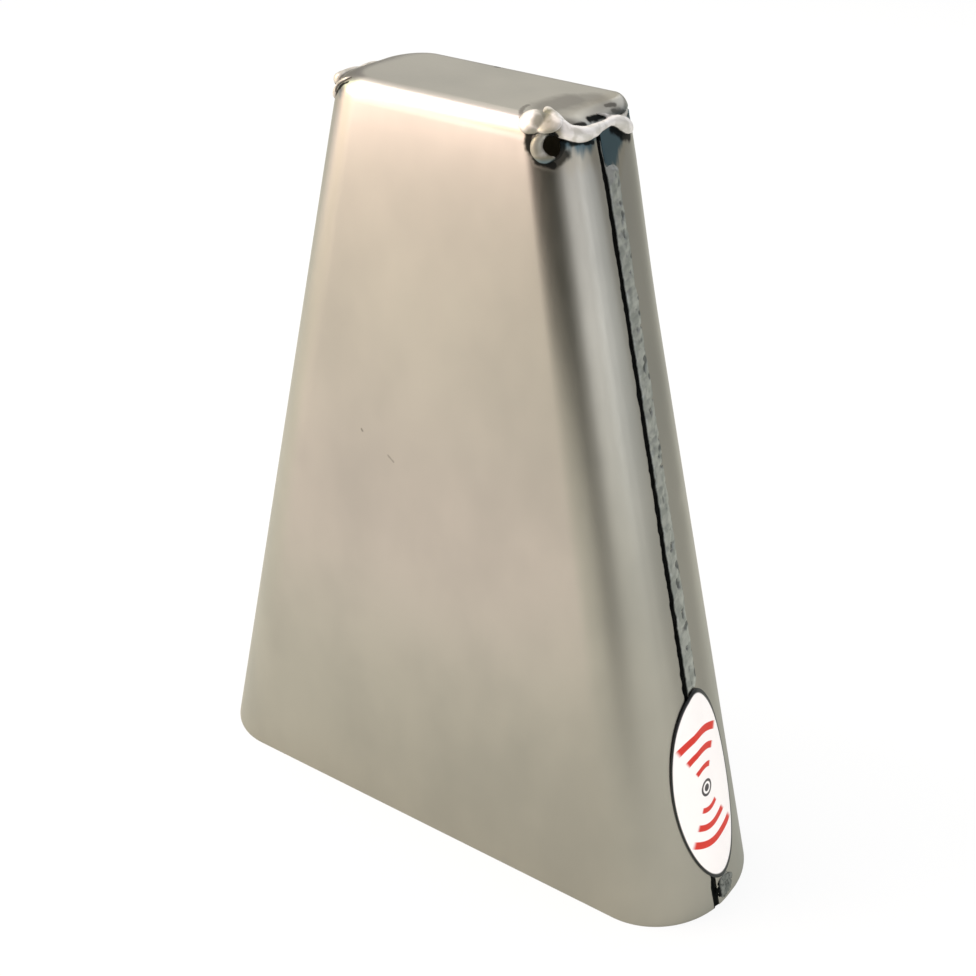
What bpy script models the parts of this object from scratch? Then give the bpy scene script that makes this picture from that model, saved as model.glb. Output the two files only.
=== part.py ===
"""Handheld steel cowbell, mouth down, built as the real bell is made.

One blank of sheet steel is folded over the crown. Its four side flanges are bent in from the
broad faces and meet on each narrow side, where a seam weld joins them. A weld bead closes each
end of the crown, between round relief holes at the corners of the blank, and corner tacks, mouth
tacks and an oval label complete the bell.

Frame: the mouth rim lies on z = 0, +Z runs up to the crown, X runs along the wide mouth and the
labelled narrow side faces +X. The front broad face looks along -Y.
"""
import math

import bpy
import bmesh
from mathutils import Matrix, Vector

# Bell form, in metres
BELL_HEIGHT = 0.230
MOUTH_WIDTH = 0.1835
MOUTH_DEPTH = 0.0574
CROWN_WIDTH = 0.0745
CROWN_DEPTH = 0.0359
SHEET_THICKNESS = 0.0015

# Side bends: how far each bend reaches along the broad face, and the flat left between two bends
MOUTH_BEND_REACH = 0.0236
MOUTH_SIDE_FLAT = 0.0034
CROWN_BEND_REACH = 0.0128
CROWN_SIDE_FLAT = 0.0131

# Crown: the fold of the broad faces, and the reach of the end that is turned down over the side
CROWN_FOLD_RADIUS = 0.0053
CROWN_END_REACH = 0.0087

# Joints between the edges of the blank
SEAM_GAP = 0.0020
SEAM_OFFSET_MOUTH = 0.0070
SEAM_OFFSET_CROWN = 0.0041
CROWN_SLIT_WIDTH = 0.0016
CROWN_SLIT_DROP = 0.0039
RELIEF_RADIUS = 0.0030
RELIEF_DROP = 0.0062
RIGHT_RELIEF_TURN = math.radians(60.0)
LEFT_RELIEF_TURN = math.radians(25.0)

# Weld deposits
SEAM_BEAD_WIDTH = 0.0064
SEAM_BEAD_HEIGHT = 0.0009
SEAM_BEAD_RUN_OUT = 0.0160
CROWN_BEAD_WIDTH = 0.0044
CROWN_BEAD_HEIGHT = 0.0019
CORNER_TACK_LENGTH = 0.0096
CORNER_TACK_WIDTH = 0.0074
CORNER_TACK_HEIGHT = 0.0026
SMALL_TACK_SHARE = 0.6
MOUTH_TACK_WIDTH = 0.0056
MOUTH_TACK_HEIGHT = 0.0012
MOUTH_TACK_RISE = 0.0044

# Label
LABEL_LENGTH = 0.0625
LABEL_WIDTH = 0.0290
LABEL_THICKNESS = 0.0002
LABEL_RISE = 0.0390
LABEL_SHIFT = 0.0019
LABEL_SLANT = 0.0015

# Clearance between two pieces that touch, and what is trimmed off the mouth
FIT_GAP = 0.0003
MOUTH_TRIM = 0.0060

# The two narrow sides: direction, name and place of their relief holes round the corner bends
ENDS = ((1, "right", RIGHT_RELIEF_TURN), (-1, "left", LEFT_RELIEF_TURN))

# Facets
BEND_FACETS = 10
WALL_ROWS = 5
FOLD_FACETS = 6
BEAD_SIDES = 12
BEAD_POINT_SPACING = 0.0012
SEAM_POINT_SPACING = 0.0100
LABEL_FACETS = 40
LABEL_RINGS = 5


def start_empty():
    """Remove what the scene holds and make the two collections."""
    for thing in list(bpy.data.objects):
        bpy.data.objects.remove(thing, do_unlink=True)
    made = []
    for name in ("handheld_cowbell", "cutters"):
        collection = bpy.data.collections.new(name)
        bpy.context.scene.collection.children.link(collection)
        made.append(collection)
    return made


def material(name, color, roughness, metallic):
    """A plain Principled material."""
    made = bpy.data.materials.new(name)
    made.use_nodes = True
    shader = made.node_tree.nodes["Principled BSDF"]
    shader.inputs["Base Color"].default_value = (*color, 1.0)
    shader.inputs["Roughness"].default_value = roughness
    shader.inputs["Metallic"].default_value = metallic
    return made


def wall_section(z, growth):
    """Half width, half depth, bend reach and bend curl of the straight walls at height z."""
    up = z / BELL_HEIGHT
    half_width = (MOUTH_WIDTH + (CROWN_WIDTH - MOUTH_WIDTH) * up) / 2
    half_depth = (MOUTH_DEPTH + (CROWN_DEPTH - MOUTH_DEPTH) * up) / 2
    side_flat = MOUTH_SIDE_FLAT + (CROWN_SIDE_FLAT - MOUTH_SIDE_FLAT) * up
    reach = MOUTH_BEND_REACH + (CROWN_BEND_REACH - MOUTH_BEND_REACH) * up
    curl = half_depth - side_flat / 2
    return half_width + growth, half_depth + growth, reach + growth, curl + growth


def bell_section(z, growth=0.0):
    """The same four sizes anywhere on the skin, also on the crown fold; growth moves the skin out."""
    fold_foot = BELL_HEIGHT - CROWN_FOLD_RADIUS
    if z <= fold_foot:
        return wall_section(z, growth)
    rise = min(1.0, (z - fold_foot) / (CROWN_FOLD_RADIUS + growth))
    inward = 1.0 - math.sqrt(1.0 - rise * rise)
    half_width, half_depth, reach, curl = wall_section(fold_foot, growth)
    end_inward = (CROWN_END_REACH + growth) * inward
    fold_inward = (CROWN_FOLD_RADIUS + growth) * inward
    least = SHEET_THICKNESS / 2
    return (half_width - end_inward, half_depth - fold_inward,
            max(reach - end_inward, least), max(curl - fold_inward, least))


def ring_points(z, growth=0.0):
    """The closed outline of the skin at height z, counter-clockwise from above."""
    half_width, half_depth, reach, curl = bell_section(z, growth)
    points = []
    for quarter, (side, face) in enumerate(((1, 1), (-1, 1), (-1, -1), (1, -1))):
        for step in range(BEND_FACETS + 1):
            share = step if quarter % 2 == 0 else BEND_FACETS - step
            turn = share / BEND_FACETS * math.pi / 2
            x = half_width - reach + reach * math.cos(turn)
            y = half_depth - curl + curl * math.sin(turn)
            points.append(Vector((side * x, face * y, z)))
    return points


def skin_heights(growth=0.0):
    """Heights of the rings: even steps up the walls, then even angles over the crown fold."""
    fold_foot = BELL_HEIGHT - CROWN_FOLD_RADIUS
    heights = []
    for row in range(WALL_ROWS):
        heights.append(-MOUTH_TRIM + (fold_foot + MOUTH_TRIM) * row / WALL_ROWS)
    for row in range(FOLD_FACETS + 1):
        turn = row / FOLD_FACETS * math.pi / 2
        heights.append(fold_foot + (CROWN_FOLD_RADIUS + growth) * math.sin(turn))
    return heights


def loft_bell(name, growth, closed):
    """Loft the mouth outline into the crown outline, open or closed at the mouth."""
    mesh = bpy.data.meshes.new(name)
    work = bmesh.new()
    rings = []
    for height in skin_heights(growth):
        rings.append([work.verts.new(point) for point in ring_points(height, growth)])
    for low, high in zip(rings, rings[1:]):
        for index in range(len(low)):
            after = (index + 1) % len(low)
            work.faces.new((low[index], low[after], high[after], high[index]))
    work.faces.new(rings[-1])
    if closed:
        work.faces.new(list(reversed(rings[0])))
    work.to_mesh(mesh)
    work.free()
    return bpy.data.objects.new(name, mesh)


def as_cutter(thing):
    """Put an object with the cutters: shown as wire and never rendered."""
    thing.display_type = "WIRE"
    thing.hide_render = True
    cutters.objects.link(thing)
    return thing


def box_cutter(name, low, high):
    """A box between two corners."""
    mesh = bpy.data.meshes.new(name)
    work = bmesh.new()
    bmesh.ops.create_cube(work, size=1.0)
    size = Vector(high) - Vector(low)
    middle = (Vector(high) + Vector(low)) / 2
    bmesh.ops.scale(work, vec=size, verts=work.verts)
    bmesh.ops.translate(work, vec=middle, verts=work.verts)
    work.to_mesh(mesh)
    work.free()
    return as_cutter(bpy.data.objects.new(name, mesh))


def cut(thing, cutter):
    """Take a cutter out of a piece with an exact Boolean."""
    modifier = thing.modifiers.new(cutter.name, "BOOLEAN")
    modifier.operation = "DIFFERENCE"
    modifier.solver = "EXACT"
    modifier.object = cutter


def end_skin(y, z):
    """The point of the skin on the +X narrow side at depth y and height z."""
    half_width, half_depth, reach, curl = bell_section(z)
    past = max(0.0, abs(y) - (half_depth - curl)) / curl
    x = half_width - reach + reach * math.sqrt(max(0.0, 1.0 - past * past))
    return Vector((x, y, z))


def end_normal(y, z):
    """The outward direction of that skin."""
    step = SHEET_THICKNESS / 10
    across = end_skin(y + step, z) - end_skin(y - step, z)
    up = end_skin(y, min(z + step, BELL_HEIGHT)) - end_skin(y, z - step)
    return across.cross(up).normalized()


def seam_line(z):
    """Depth of the seam's middle at height z: the front flanges are the narrower ones."""
    return -SEAM_OFFSET_MOUTH + (SEAM_OFFSET_MOUTH - SEAM_OFFSET_CROWN) * z / BELL_HEIGHT


def slit_middle():
    """Height of the middle of the slit between the crown end and the flanges."""
    return BELL_HEIGHT - CROWN_SLIT_DROP


def relief_place(turn):
    """Centre and outward direction of a relief hole this far round the front bend of the +X side."""
    z = BELL_HEIGHT - RELIEF_DROP
    half_width, half_depth, reach, curl = bell_section(z)
    x = half_width - reach + reach * math.cos(turn)
    y = -(half_depth - curl + curl * math.sin(turn))
    outward = Vector((math.cos(turn) / reach, -math.sin(turn) / curl, 0.0))
    return Vector((x, y, z)), outward.normalized()


def seam_cutter(name, clearance):
    """The slot between the flange edges of both narrow sides, from below the rim to the slit."""
    half_gap = SEAM_GAP / 2 - clearance
    low = -2 * MOUTH_TRIM
    high = slit_middle()
    mesh = bpy.data.meshes.new(name)
    work = bmesh.new()
    bmesh.ops.create_cube(work, size=2.0)
    for corner in work.verts:
        z = high if corner.co.z > 0 else low
        y = seam_line(z) + corner.co.y * half_gap
        corner.co = Vector((corner.co.x * MOUTH_WIDTH, y, z))
    work.to_mesh(mesh)
    work.free()
    return as_cutter(bpy.data.objects.new(name, mesh))


def slit_cutter(name, side, start, clearance):
    """The slit at one end of the crown, running round the end from the relief holes."""
    half_slit = CROWN_SLIT_WIDTH / 2 - clearance
    near = side * start
    far = side * MOUTH_WIDTH
    return box_cutter(name, (min(near, far), -MOUTH_DEPTH, slit_middle() - half_slit),
                      (max(near, far), MOUTH_DEPTH, slit_middle() + half_slit))


def relief_cutter(name, side, face, turn):
    """A round hole through one corner bend, square to it."""
    centre, outward = relief_place(turn)
    centre = Vector((side * centre.x, -face * centre.y, centre.z))
    outward = Vector((side * outward.x, -face * outward.y, 0.0))
    mesh = bpy.data.meshes.new(name)
    work = bmesh.new()
    bmesh.ops.create_cone(work, cap_ends=True, segments=24, radius1=RELIEF_RADIUS,
                          radius2=RELIEF_RADIUS, depth=6 * SHEET_THICKNESS)
    turned = outward.to_track_quat("Z", "Y").to_matrix().to_4x4()
    bmesh.ops.transform(work, matrix=Matrix.Translation(centre) @ turned, verts=work.verts)
    work.to_mesh(mesh)
    work.free()
    return as_cutter(bpy.data.objects.new(name, mesh))


def bell_shell():
    """The folded blank: one sheet with its seams, crown slits and relief holes still open."""
    shell = loft_bell("bell_shell", 0.0, closed=False)
    model.objects.link(shell)
    wall = shell.modifiers.new("Sheet", "SOLIDIFY")
    wall.thickness = SHEET_THICKNESS
    wall.offset = -1.0
    wall.use_even_offset = True
    cut(shell, box_cutter("mouth_trim", (-MOUTH_WIDTH, -MOUTH_DEPTH, -4 * MOUTH_TRIM),
                          (MOUTH_WIDTH, MOUTH_DEPTH, 0.0)))
    cut(shell, seam_cutter("seam_slots", 0.0))
    for side, side_name, turn in ENDS:
        cut(shell, slit_cutter(side_name + "_slit", side, relief_place(turn)[0].x, 0.0))
        for face, face_name in ((-1, "front"), (1, "back")):
            cut(shell, relief_cutter(side_name + "_" + face_name + "_relief", side, face, turn))
    finish(shell, steel)


def finish(thing, surface):
    """Give a piece its material and smooth shading with sharp folds."""
    thing.data.materials.append(surface)
    thing.data.shade_smooth()
    thing.data.set_sharp_from_angle(angle=math.radians(35.0))


def smooth_stations(stations, spacing):
    """Run a smooth curve through the stations, each a tuple of numbers that starts with x, y, z."""
    fine = []
    for index in range(len(stations) - 1):
        before = stations[max(index - 1, 0)]
        here = stations[index]
        there = stations[index + 1]
        after = stations[min(index + 2, len(stations) - 1)]
        length = (Vector(there[:3]) - Vector(here[:3])).length
        steps = max(1, round(length / spacing))
        for step in range(steps):
            t = step / steps
            fine.append([h + t * ((n - b) / 2 + t * ((2 * b - 5 * h + 4 * n - a) / 2
                                                      + t * (3 * h - 3 * n + a - b) / 2))
                         for b, h, n, a in zip(before, here, there, after)])
    fine.append(list(stations[-1]))
    return fine


def tube(name, stations):
    """A closed tube through stations of x, y, z and radius, made a mesh that can be cut."""
    curve = bpy.data.curves.new(name, "CURVE")
    curve.dimensions = "3D"
    curve.bevel_depth = 1.0
    curve.bevel_resolution = BEAD_SIDES // 2 - 2
    curve.use_fill_caps = True
    spline = curve.splines.new("POLY")
    spline.points.add(len(stations) - 1)
    for point, station in zip(spline.points, stations):
        point.co = (*station[:3], 1.0)
        point.radius = station[3]
    drawn = bpy.data.objects.new(name + "_line", curve)
    cutters.objects.link(drawn)
    bpy.context.view_layer.update()
    mesh = bpy.data.meshes.new_from_object(drawn.evaluated_get(bpy.context.evaluated_depsgraph_get()))
    bpy.data.objects.remove(drawn, do_unlink=True)
    work = bmesh.new()
    work.from_mesh(mesh)
    bmesh.ops.remove_doubles(work, verts=work.verts, dist=1e-6)
    bmesh.ops.recalc_face_normals(work, faces=work.faces)
    work.to_mesh(mesh)
    work.free()
    mesh.name = name
    return bpy.data.objects.new(name, mesh)


def bead_radius(width, height):
    """Radius of the round bar whose top stands out of the skin as a bead of this size."""
    return (width * width / 4 + height * height) / (2 * height)


def bead_station(y, z, height, depth):
    """A station of a bead at a point of the +X skin: the bar's centre lies below the skin."""
    centre = end_skin(y, z) - end_normal(y, z) * depth
    return (*centre, depth + height)


def mirrored(stations, side):
    """The stations moved to one narrow side."""
    return [(side * x, y, z, radius) for x, y, z, radius in stations]


def seam_weld(side, name):
    """The seam weld: a proud bead down the flange joint, and a sunk root below it to the mouth."""
    radius = bead_radius(SEAM_BEAD_WIDTH, SEAM_BEAD_HEIGHT)
    depth = radius - SEAM_BEAD_HEIGHT
    low = MOUTH_TACK_RISE + bead_radius(MOUTH_TACK_WIDTH, MOUTH_TACK_HEIGHT) + FIT_GAP
    bead_low = LABEL_RISE + LABEL_LENGTH / 2 + FIT_GAP
    high = slit_middle() - CROWN_BEAD_WIDTH / 2 - 2 * FIT_GAP
    bead_high = high - SEAM_BEAD_RUN_OUT / 2
    taper = SEAM_BEAD_RUN_OUT / 4
    heights = ((low, 0.0), (bead_low, 0.0), (bead_low + taper, 1.0), (bead_high - taper, 1.0),
               (bead_high, 0.0), (high, 0.0))
    stations = []
    for z, proud in heights:
        y = seam_line(z) + SEAM_BEAD_WIDTH / 2
        stations.append(bead_station(y, z, proud * SEAM_BEAD_HEIGHT, depth))
    weld = tube(name, mirrored(straight_stations(stations, SEAM_POINT_SPACING), side))
    model.objects.link(weld)
    cut(weld, seat)
    cut(weld, hollow)
    finish(weld, weld_steel)


def straight_stations(stations, spacing):
    """More stations on the straight lines between the given ones."""
    fine = []
    for here, there in zip(stations, stations[1:]):
        steps = max(1, round((Vector(there[:3]) - Vector(here[:3])).length / spacing))
        for step in range(steps):
            share = step / steps
            fine.append(tuple(h + (t - h) * share for h, t in zip(here, there)))
    fine.append(stations[-1])
    return fine


def corner_place(face):
    """Where a corner tack sits: on the fold of the broad face, at the end of the crown."""
    z = BELL_HEIGHT - CROWN_FOLD_RADIUS / 8
    half_width, half_depth, reach, curl = bell_section(z)
    y = face * (half_depth - curl + curl * math.sin(math.radians(75.0)))
    return end_skin(y, z), end_normal(y, z)


def corner_tack(side, face, name, growth=0.0):
    """A flattened drop of weld metal on one corner of the crown, the largest at the right front."""
    share = 1.0 if side > 0 and face < 0 else SMALL_TACK_SHARE
    centre, outward = corner_place(face)
    centre = Vector((side * centre.x, centre.y, centre.z))
    outward = Vector((side * outward.x, outward.y, outward.z))
    mesh = bpy.data.meshes.new(name)
    work = bmesh.new()
    bmesh.ops.create_uvsphere(work, u_segments=20, v_segments=12, radius=1.0)
    along = Vector((1.0, 0.0, 0.0))
    across = outward.cross(along).normalized()
    along = across.cross(outward)
    axes = Matrix((along * (share * CORNER_TACK_LENGTH / 2 + growth),
                   across * (share * CORNER_TACK_WIDTH / 2 + growth),
                   outward * (share * CORNER_TACK_HEIGHT + growth))).transposed().to_4x4()
    bmesh.ops.transform(work, matrix=Matrix.Translation(centre) @ axes, verts=work.verts)
    bmesh.ops.recalc_face_normals(work, faces=work.faces)
    work.to_mesh(mesh)
    work.free()
    return bpy.data.objects.new(name, mesh)


def crown_weld(side, side_name):
    """The wavy bead that closes the slit along one crown end, drawn by the right front relief hole."""
    relief = relief_place(RIGHT_RELIEF_TURN)[0]
    # Share of the way back from the middle to the hole, rise over the slit as a share of the
    # slit's drop, share of full width
    wave = ((-0.52, 0.80, 0.50), (-0.66, 0.85, 0.80), (-0.75, 0.74, 0.84), (-0.80, 0.45, 0.86),
            (-0.80, 0.06, 0.86), (-0.74, -0.16, 0.90), (-0.63, -0.26, 0.94), (-0.51, -0.26, 0.94),
            (-0.38, -0.23, 0.86), (-0.26, -0.18, 0.74), (-0.12, -0.13, 0.62), (0.02, -0.08, 0.54),
            (0.14, -0.08, 0.52), (0.26, -0.13, 0.60), (0.38, -0.28, 0.76), (0.48, -0.44, 0.86),
            (0.58, -0.46, 0.76), (0.68, -0.38, 0.64), (0.79, -0.20, 0.60), (0.88, -0.02, 0.58))
    stations = []
    for share, rise, size in wave:
        y = -share * relief.y
        z = slit_middle() + rise * CROWN_SLIT_DROP
        height = size * CROWN_BEAD_HEIGHT
        depth = bead_radius(size * CROWN_BEAD_WIDTH, height) - height
        stations.append(bead_station(y, z, height, depth))
    weld = tube(side_name + "_crown_weld",
                mirrored(smooth_stations(stations, BEAD_POINT_SPACING), side))
    model.objects.link(weld)
    cut(weld, seat)
    cut(weld, hollow)
    for face, face_name in ((-1, "front"), (1, "back")):
        name = side_name + "_" + face_name + "_corner_tack"
        tack = corner_tack(side, face, name)
        model.objects.link(tack)
        cut(tack, plain_seat)
        finish(tack, weld_steel)
        cut(weld, as_cutter(corner_tack(side, face, name + "_room", FIT_GAP)))
    finish(weld, weld_steel)


def mouth_tack(side, name):
    """A round tack over the seam just above the rim."""
    radius = bead_radius(MOUTH_TACK_WIDTH, MOUTH_TACK_HEIGHT)
    depth = radius - MOUTH_TACK_HEIGHT
    y = seam_line(MOUTH_TACK_RISE) + MOUTH_TACK_WIDTH / 4
    centre = end_skin(y, MOUTH_TACK_RISE) - end_normal(y, MOUTH_TACK_RISE) * depth
    mesh = bpy.data.meshes.new(name)
    work = bmesh.new()
    bmesh.ops.create_uvsphere(work, u_segments=24, v_segments=16, radius=radius)
    bmesh.ops.translate(work, vec=(side * centre.x, centre.y, centre.z), verts=work.verts)
    work.to_mesh(mesh)
    work.free()
    tack = bpy.data.objects.new(name, mesh)
    model.objects.link(tack)
    cut(tack, seat)
    cut(tack, hollow)
    finish(tack, weld_steel)


def walk_round(start, z, distance):
    """Depth y of the point that lies this far round the +X skin from depth start."""
    steps = 24
    y = start
    for _ in range(steps):
        ahead = end_skin(y + SHEET_THICKNESS / 10, z) - end_skin(y - SHEET_THICKNESS / 10, z)
        slope = ahead.x / ahead.y
        y += distance / steps / math.sqrt(1.0 + slope * slope)
    return y


def label():
    """An oval label, bent round the lower half of the +X side over the dressed seam."""
    mesh = bpy.data.meshes.new("label")
    work = bmesh.new()
    bmesh.ops.create_circle(work, cap_ends=True, segments=LABEL_FACETS, radius=1.0)
    for _ in range(LABEL_RINGS - 1):
        middle = [face for face in work.faces if len(face.verts) == LABEL_FACETS]
        bmesh.ops.inset_individual(work, faces=middle, thickness=1.0 / LABEL_RINGS)
    lean = math.atan((MOUTH_WIDTH - CROWN_WIDTH) / 2 / BELL_HEIGHT)
    for corner in work.verts:
        z = LABEL_RISE + corner.co.y * LABEL_LENGTH / 2 * math.cos(lean)
        y = walk_round(-LABEL_SHIFT - corner.co.y * LABEL_SLANT, z, corner.co.x * LABEL_WIDTH / 2)
        corner.co = end_skin(y, z) + end_normal(y, z) * FIT_GAP
    work.to_mesh(mesh)
    work.free()
    sticker = bpy.data.objects.new("label", mesh)
    model.objects.link(sticker)
    film = sticker.modifiers.new("Film", "SOLIDIFY")
    film.thickness = LABEL_THICKNESS
    film.offset = 1.0
    film.use_even_offset = True
    finish(sticker, label_film)


model, cutters = start_empty()
steel = material("Brushed steel", (0.62, 0.57, 0.51), 0.32, 1.0)
weld_steel = material("Weld steel", (0.70, 0.68, 0.66), 0.28, 1.0)
label_film = material("Label film", (0.93, 0.92, 0.90), 0.35, 0.0)

# The space that the bell takes with a clearance round it, the same with its joints kept open for
# the weld roots, and the space inside the sheet
plain_seat = as_cutter(loft_bell("plain_seat", FIT_GAP, closed=True))
seat = as_cutter(loft_bell("seat", FIT_GAP, closed=True))
cut(seat, seam_cutter("seam_roots", FIT_GAP))
for end, end_name, hole_turn in ENDS:
    root_start = relief_place(hole_turn)[0].x + RELIEF_RADIUS + FIT_GAP
    cut(seat, slit_cutter(end_name + "_slit_root", end, root_start, FIT_GAP))
hollow = as_cutter(loft_bell("hollow", -SHEET_THICKNESS, closed=True))

bell_shell()
for end, end_name, hole_turn in ENDS:
    seam_weld(end, end_name + "_seam_weld")
    crown_weld(end, end_name)
    mouth_tack(end, end_name + "_mouth_tack")
label()
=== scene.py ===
"""Looks of the handheld steel cowbell, built round its packed CAD frame.

The bell stands mouth down on a pale floor. A fine sheet skin with rolled edges takes the place of the
faceted CAD blank, and rippled weld beads, corner drops, rough tacks and a printed oval label take the
places of the plain CAD deposits and label.
"""
import math

import bmesh
import bpy
from bpy.props import (BoolProperty, FloatProperty, FloatVectorProperty, IntProperty,
                       PointerProperty)
from mathutils import Matrix, Vector, noise
from mathutils.bvhtree import BVHTree


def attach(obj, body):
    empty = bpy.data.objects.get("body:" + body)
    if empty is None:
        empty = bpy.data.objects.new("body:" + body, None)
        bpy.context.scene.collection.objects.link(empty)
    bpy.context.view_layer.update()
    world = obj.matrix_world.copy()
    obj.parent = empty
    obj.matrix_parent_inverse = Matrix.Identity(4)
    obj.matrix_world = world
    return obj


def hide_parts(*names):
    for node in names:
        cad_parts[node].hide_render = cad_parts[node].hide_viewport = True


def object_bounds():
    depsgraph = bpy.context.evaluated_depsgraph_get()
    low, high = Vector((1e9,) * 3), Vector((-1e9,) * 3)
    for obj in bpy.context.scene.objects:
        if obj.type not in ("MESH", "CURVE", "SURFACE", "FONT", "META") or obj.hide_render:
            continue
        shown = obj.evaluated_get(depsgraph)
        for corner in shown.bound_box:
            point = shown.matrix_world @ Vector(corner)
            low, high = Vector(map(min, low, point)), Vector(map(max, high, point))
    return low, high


bl_info = {
    "name": "Handheld Cowbell",
    "version": (1, 0, 0),
    "blender": (4, 5, 0),
    "location": "View3D > Sidebar > Cowbell",
    "description": "Dresses a welded sheet steel cowbell and lights it for a product picture",
    "category": "Object",
}

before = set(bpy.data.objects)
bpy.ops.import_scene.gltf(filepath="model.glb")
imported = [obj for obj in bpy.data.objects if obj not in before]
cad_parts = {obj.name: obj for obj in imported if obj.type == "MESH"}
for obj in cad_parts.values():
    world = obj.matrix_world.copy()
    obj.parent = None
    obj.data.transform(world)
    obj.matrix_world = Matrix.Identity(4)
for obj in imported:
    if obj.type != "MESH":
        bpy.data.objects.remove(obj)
cad_low, cad_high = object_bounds()
MM = 0.001


def length(name, description, default):
    """A length the user may change."""
    return FloatProperty(name=name, description=description, default=default, unit="LENGTH", precision=5)


def colour(name, description, default):
    """A colour the user may change."""
    return FloatVectorProperty(name=name, description=description, default=default, subtype="COLOR",
                               size=3, min=0.0, max=1.0)


def share(name, description, default):
    """A number from 0 to 1."""
    return FloatProperty(name=name, description=description, default=default, subtype="FACTOR",
                         min=0.0, max=1.0)


def amount(name, description, default):
    """A number from 0 upwards."""
    return FloatProperty(name=name, description=description, default=default, min=0.0)


def angle(name, description, degrees):
    """An angle the user may change."""
    return FloatProperty(name=name, description=description, default=math.radians(degrees), subtype="ANGLE")


# Sizes and colours that a user would change

class BellSizes(bpy.types.PropertyGroup):
    """The folded sheet steel body."""
    height: length("Height", "From the mouth rim to the flat of the crown", 0.230)
    mouth_width: length("Mouth width", "Wide side of the mouth", 0.1835)
    mouth_depth: length("Mouth depth", "Narrow side of the mouth", 0.0574)
    crown_width: length("Crown width", "Wide side of the crown", 0.0745)
    crown_depth: length("Crown depth", "Narrow side of the crown", 0.0359)
    sheet: length("Sheet", "Thickness of the steel sheet", 0.0015)
    mouth_reach: length("Mouth bend reach", "How far a side bend runs along the mouth", 0.0236)
    mouth_flat: length("Mouth side flat", "Flat left between two bends at the mouth", 0.0034)
    crown_reach: length("Crown bend reach", "The same at the crown", 0.0128)
    crown_flat: length("Crown side flat", "Flat left between two bends at the crown", 0.0131)
    fold_radius: length("Crown fold", "Radius of the fold of the broad faces", 0.0053)
    end_reach: length("Crown end", "How far the end of the crown is turned down", 0.0087)
    seam_gap: length("Seam gap", "Gap between two flanges", 0.0020)
    seam_mouth: length("Seam offset at the mouth", "How far the seam lies in front of the middle", 0.0070)
    seam_crown: length("Seam offset at the crown", "The same at the crown", 0.0041)
    slit_width: length("Crown slit", "Gap between the crown end and the flanges", 0.0016)
    slit_drop: length("Slit drop", "Middle of that gap below the crown", 0.0039)
    relief_radius: length("Relief hole", "Radius of the hole at each corner of the blank", 0.0030)
    relief_drop: length("Relief drop", "Centre of that hole below the crown", 0.0062)
    relief_turn: angle("Right relief turn", "Place of the holes round the +X bends", 60.0)
    left_relief_turn: angle("Left relief turn", "The same on the -X side", 25.0)
    square_start: length("Square start", "Depth from which the +X end of the crown gets squarer", -0.0060)
    square_full: length("Square full", "Depth at which it is squarest", 0.0110)
    square_height: length("Square height", "Height over which that happens", 0.0600)
    square_bend: share("Square bend", "How much tighter the +X back corner is at the crown", 0.40)
    square_end: share("Square end", "How much less that end of the crown is turned down there", 0.62)
    round_end: share("Round end", "How much more the -X end of the crown is turned down there", 0.35)
    rolled_edge: length("Rolled edge", "Rounding of the cut edges of the sheet", 0.00035)
    run_in: length("Run-in", "How far the broad faces ease inwards below the crown fold", 0.00030)
    run_in_length: length("Run-in length", "Height over which they do so", 0.020)
    ridge: length("Ridge", "How far the flanges stand out along the seam", 0.00045)
    ridge_reach: length("Ridge reach", "How far that ridge spreads to each side", 0.0065)
    columns: IntProperty(name="Columns", description="Facets round each half of the skin", default=190,
                         min=24)


class WeldSizes(bpy.types.PropertyGroup):
    """The weld deposits."""
    seam_width: length("Seam bead width", "Width of the proud bead down each seam", 0.0064)
    seam_height: length("Seam bead height", "Height of that bead over the sheet", 0.00045)
    ripple: length("Ripple", "Spacing of the ripples of the seam bead", 0.0027)
    crown_scale: FloatProperty(name="Crown beads", description="Multiplies the thickness of those beads",
                               default=1.0, min=0.5, max=1.2)
    voxel: length("Voxel", "Grain of the mesh that joins the drops of a bead", 0.00024)
    tack_width: length("Mouth tack width", "Width of the tack just above the rim", 0.0090)
    tack_rise: length("Mouth tack rise", "Height of its middle over the rim", 0.0044)


class LabelSizes(bpy.types.PropertyGroup):
    """The oval label."""
    long: length("Length", "Long axis of the oval", 0.0638)
    wide: length("Width", "Short axis of the oval", 0.0255)
    film: length("Film", "Thickness of the film", 0.0002)
    rise: length("Rise", "Height of its middle over the rim", 0.0395)
    shift: length("Shift", "How far its middle lies in front of the middle of the side", 0.0040)
    slant: length("Slant", "How far its upper end is turned towards the back", -0.0004)
    bow: length("Bow", "How far both ends are turned towards the back", 0.0012)
    lift: length("Lift", "Glue under the film", 0.0003)


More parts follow.
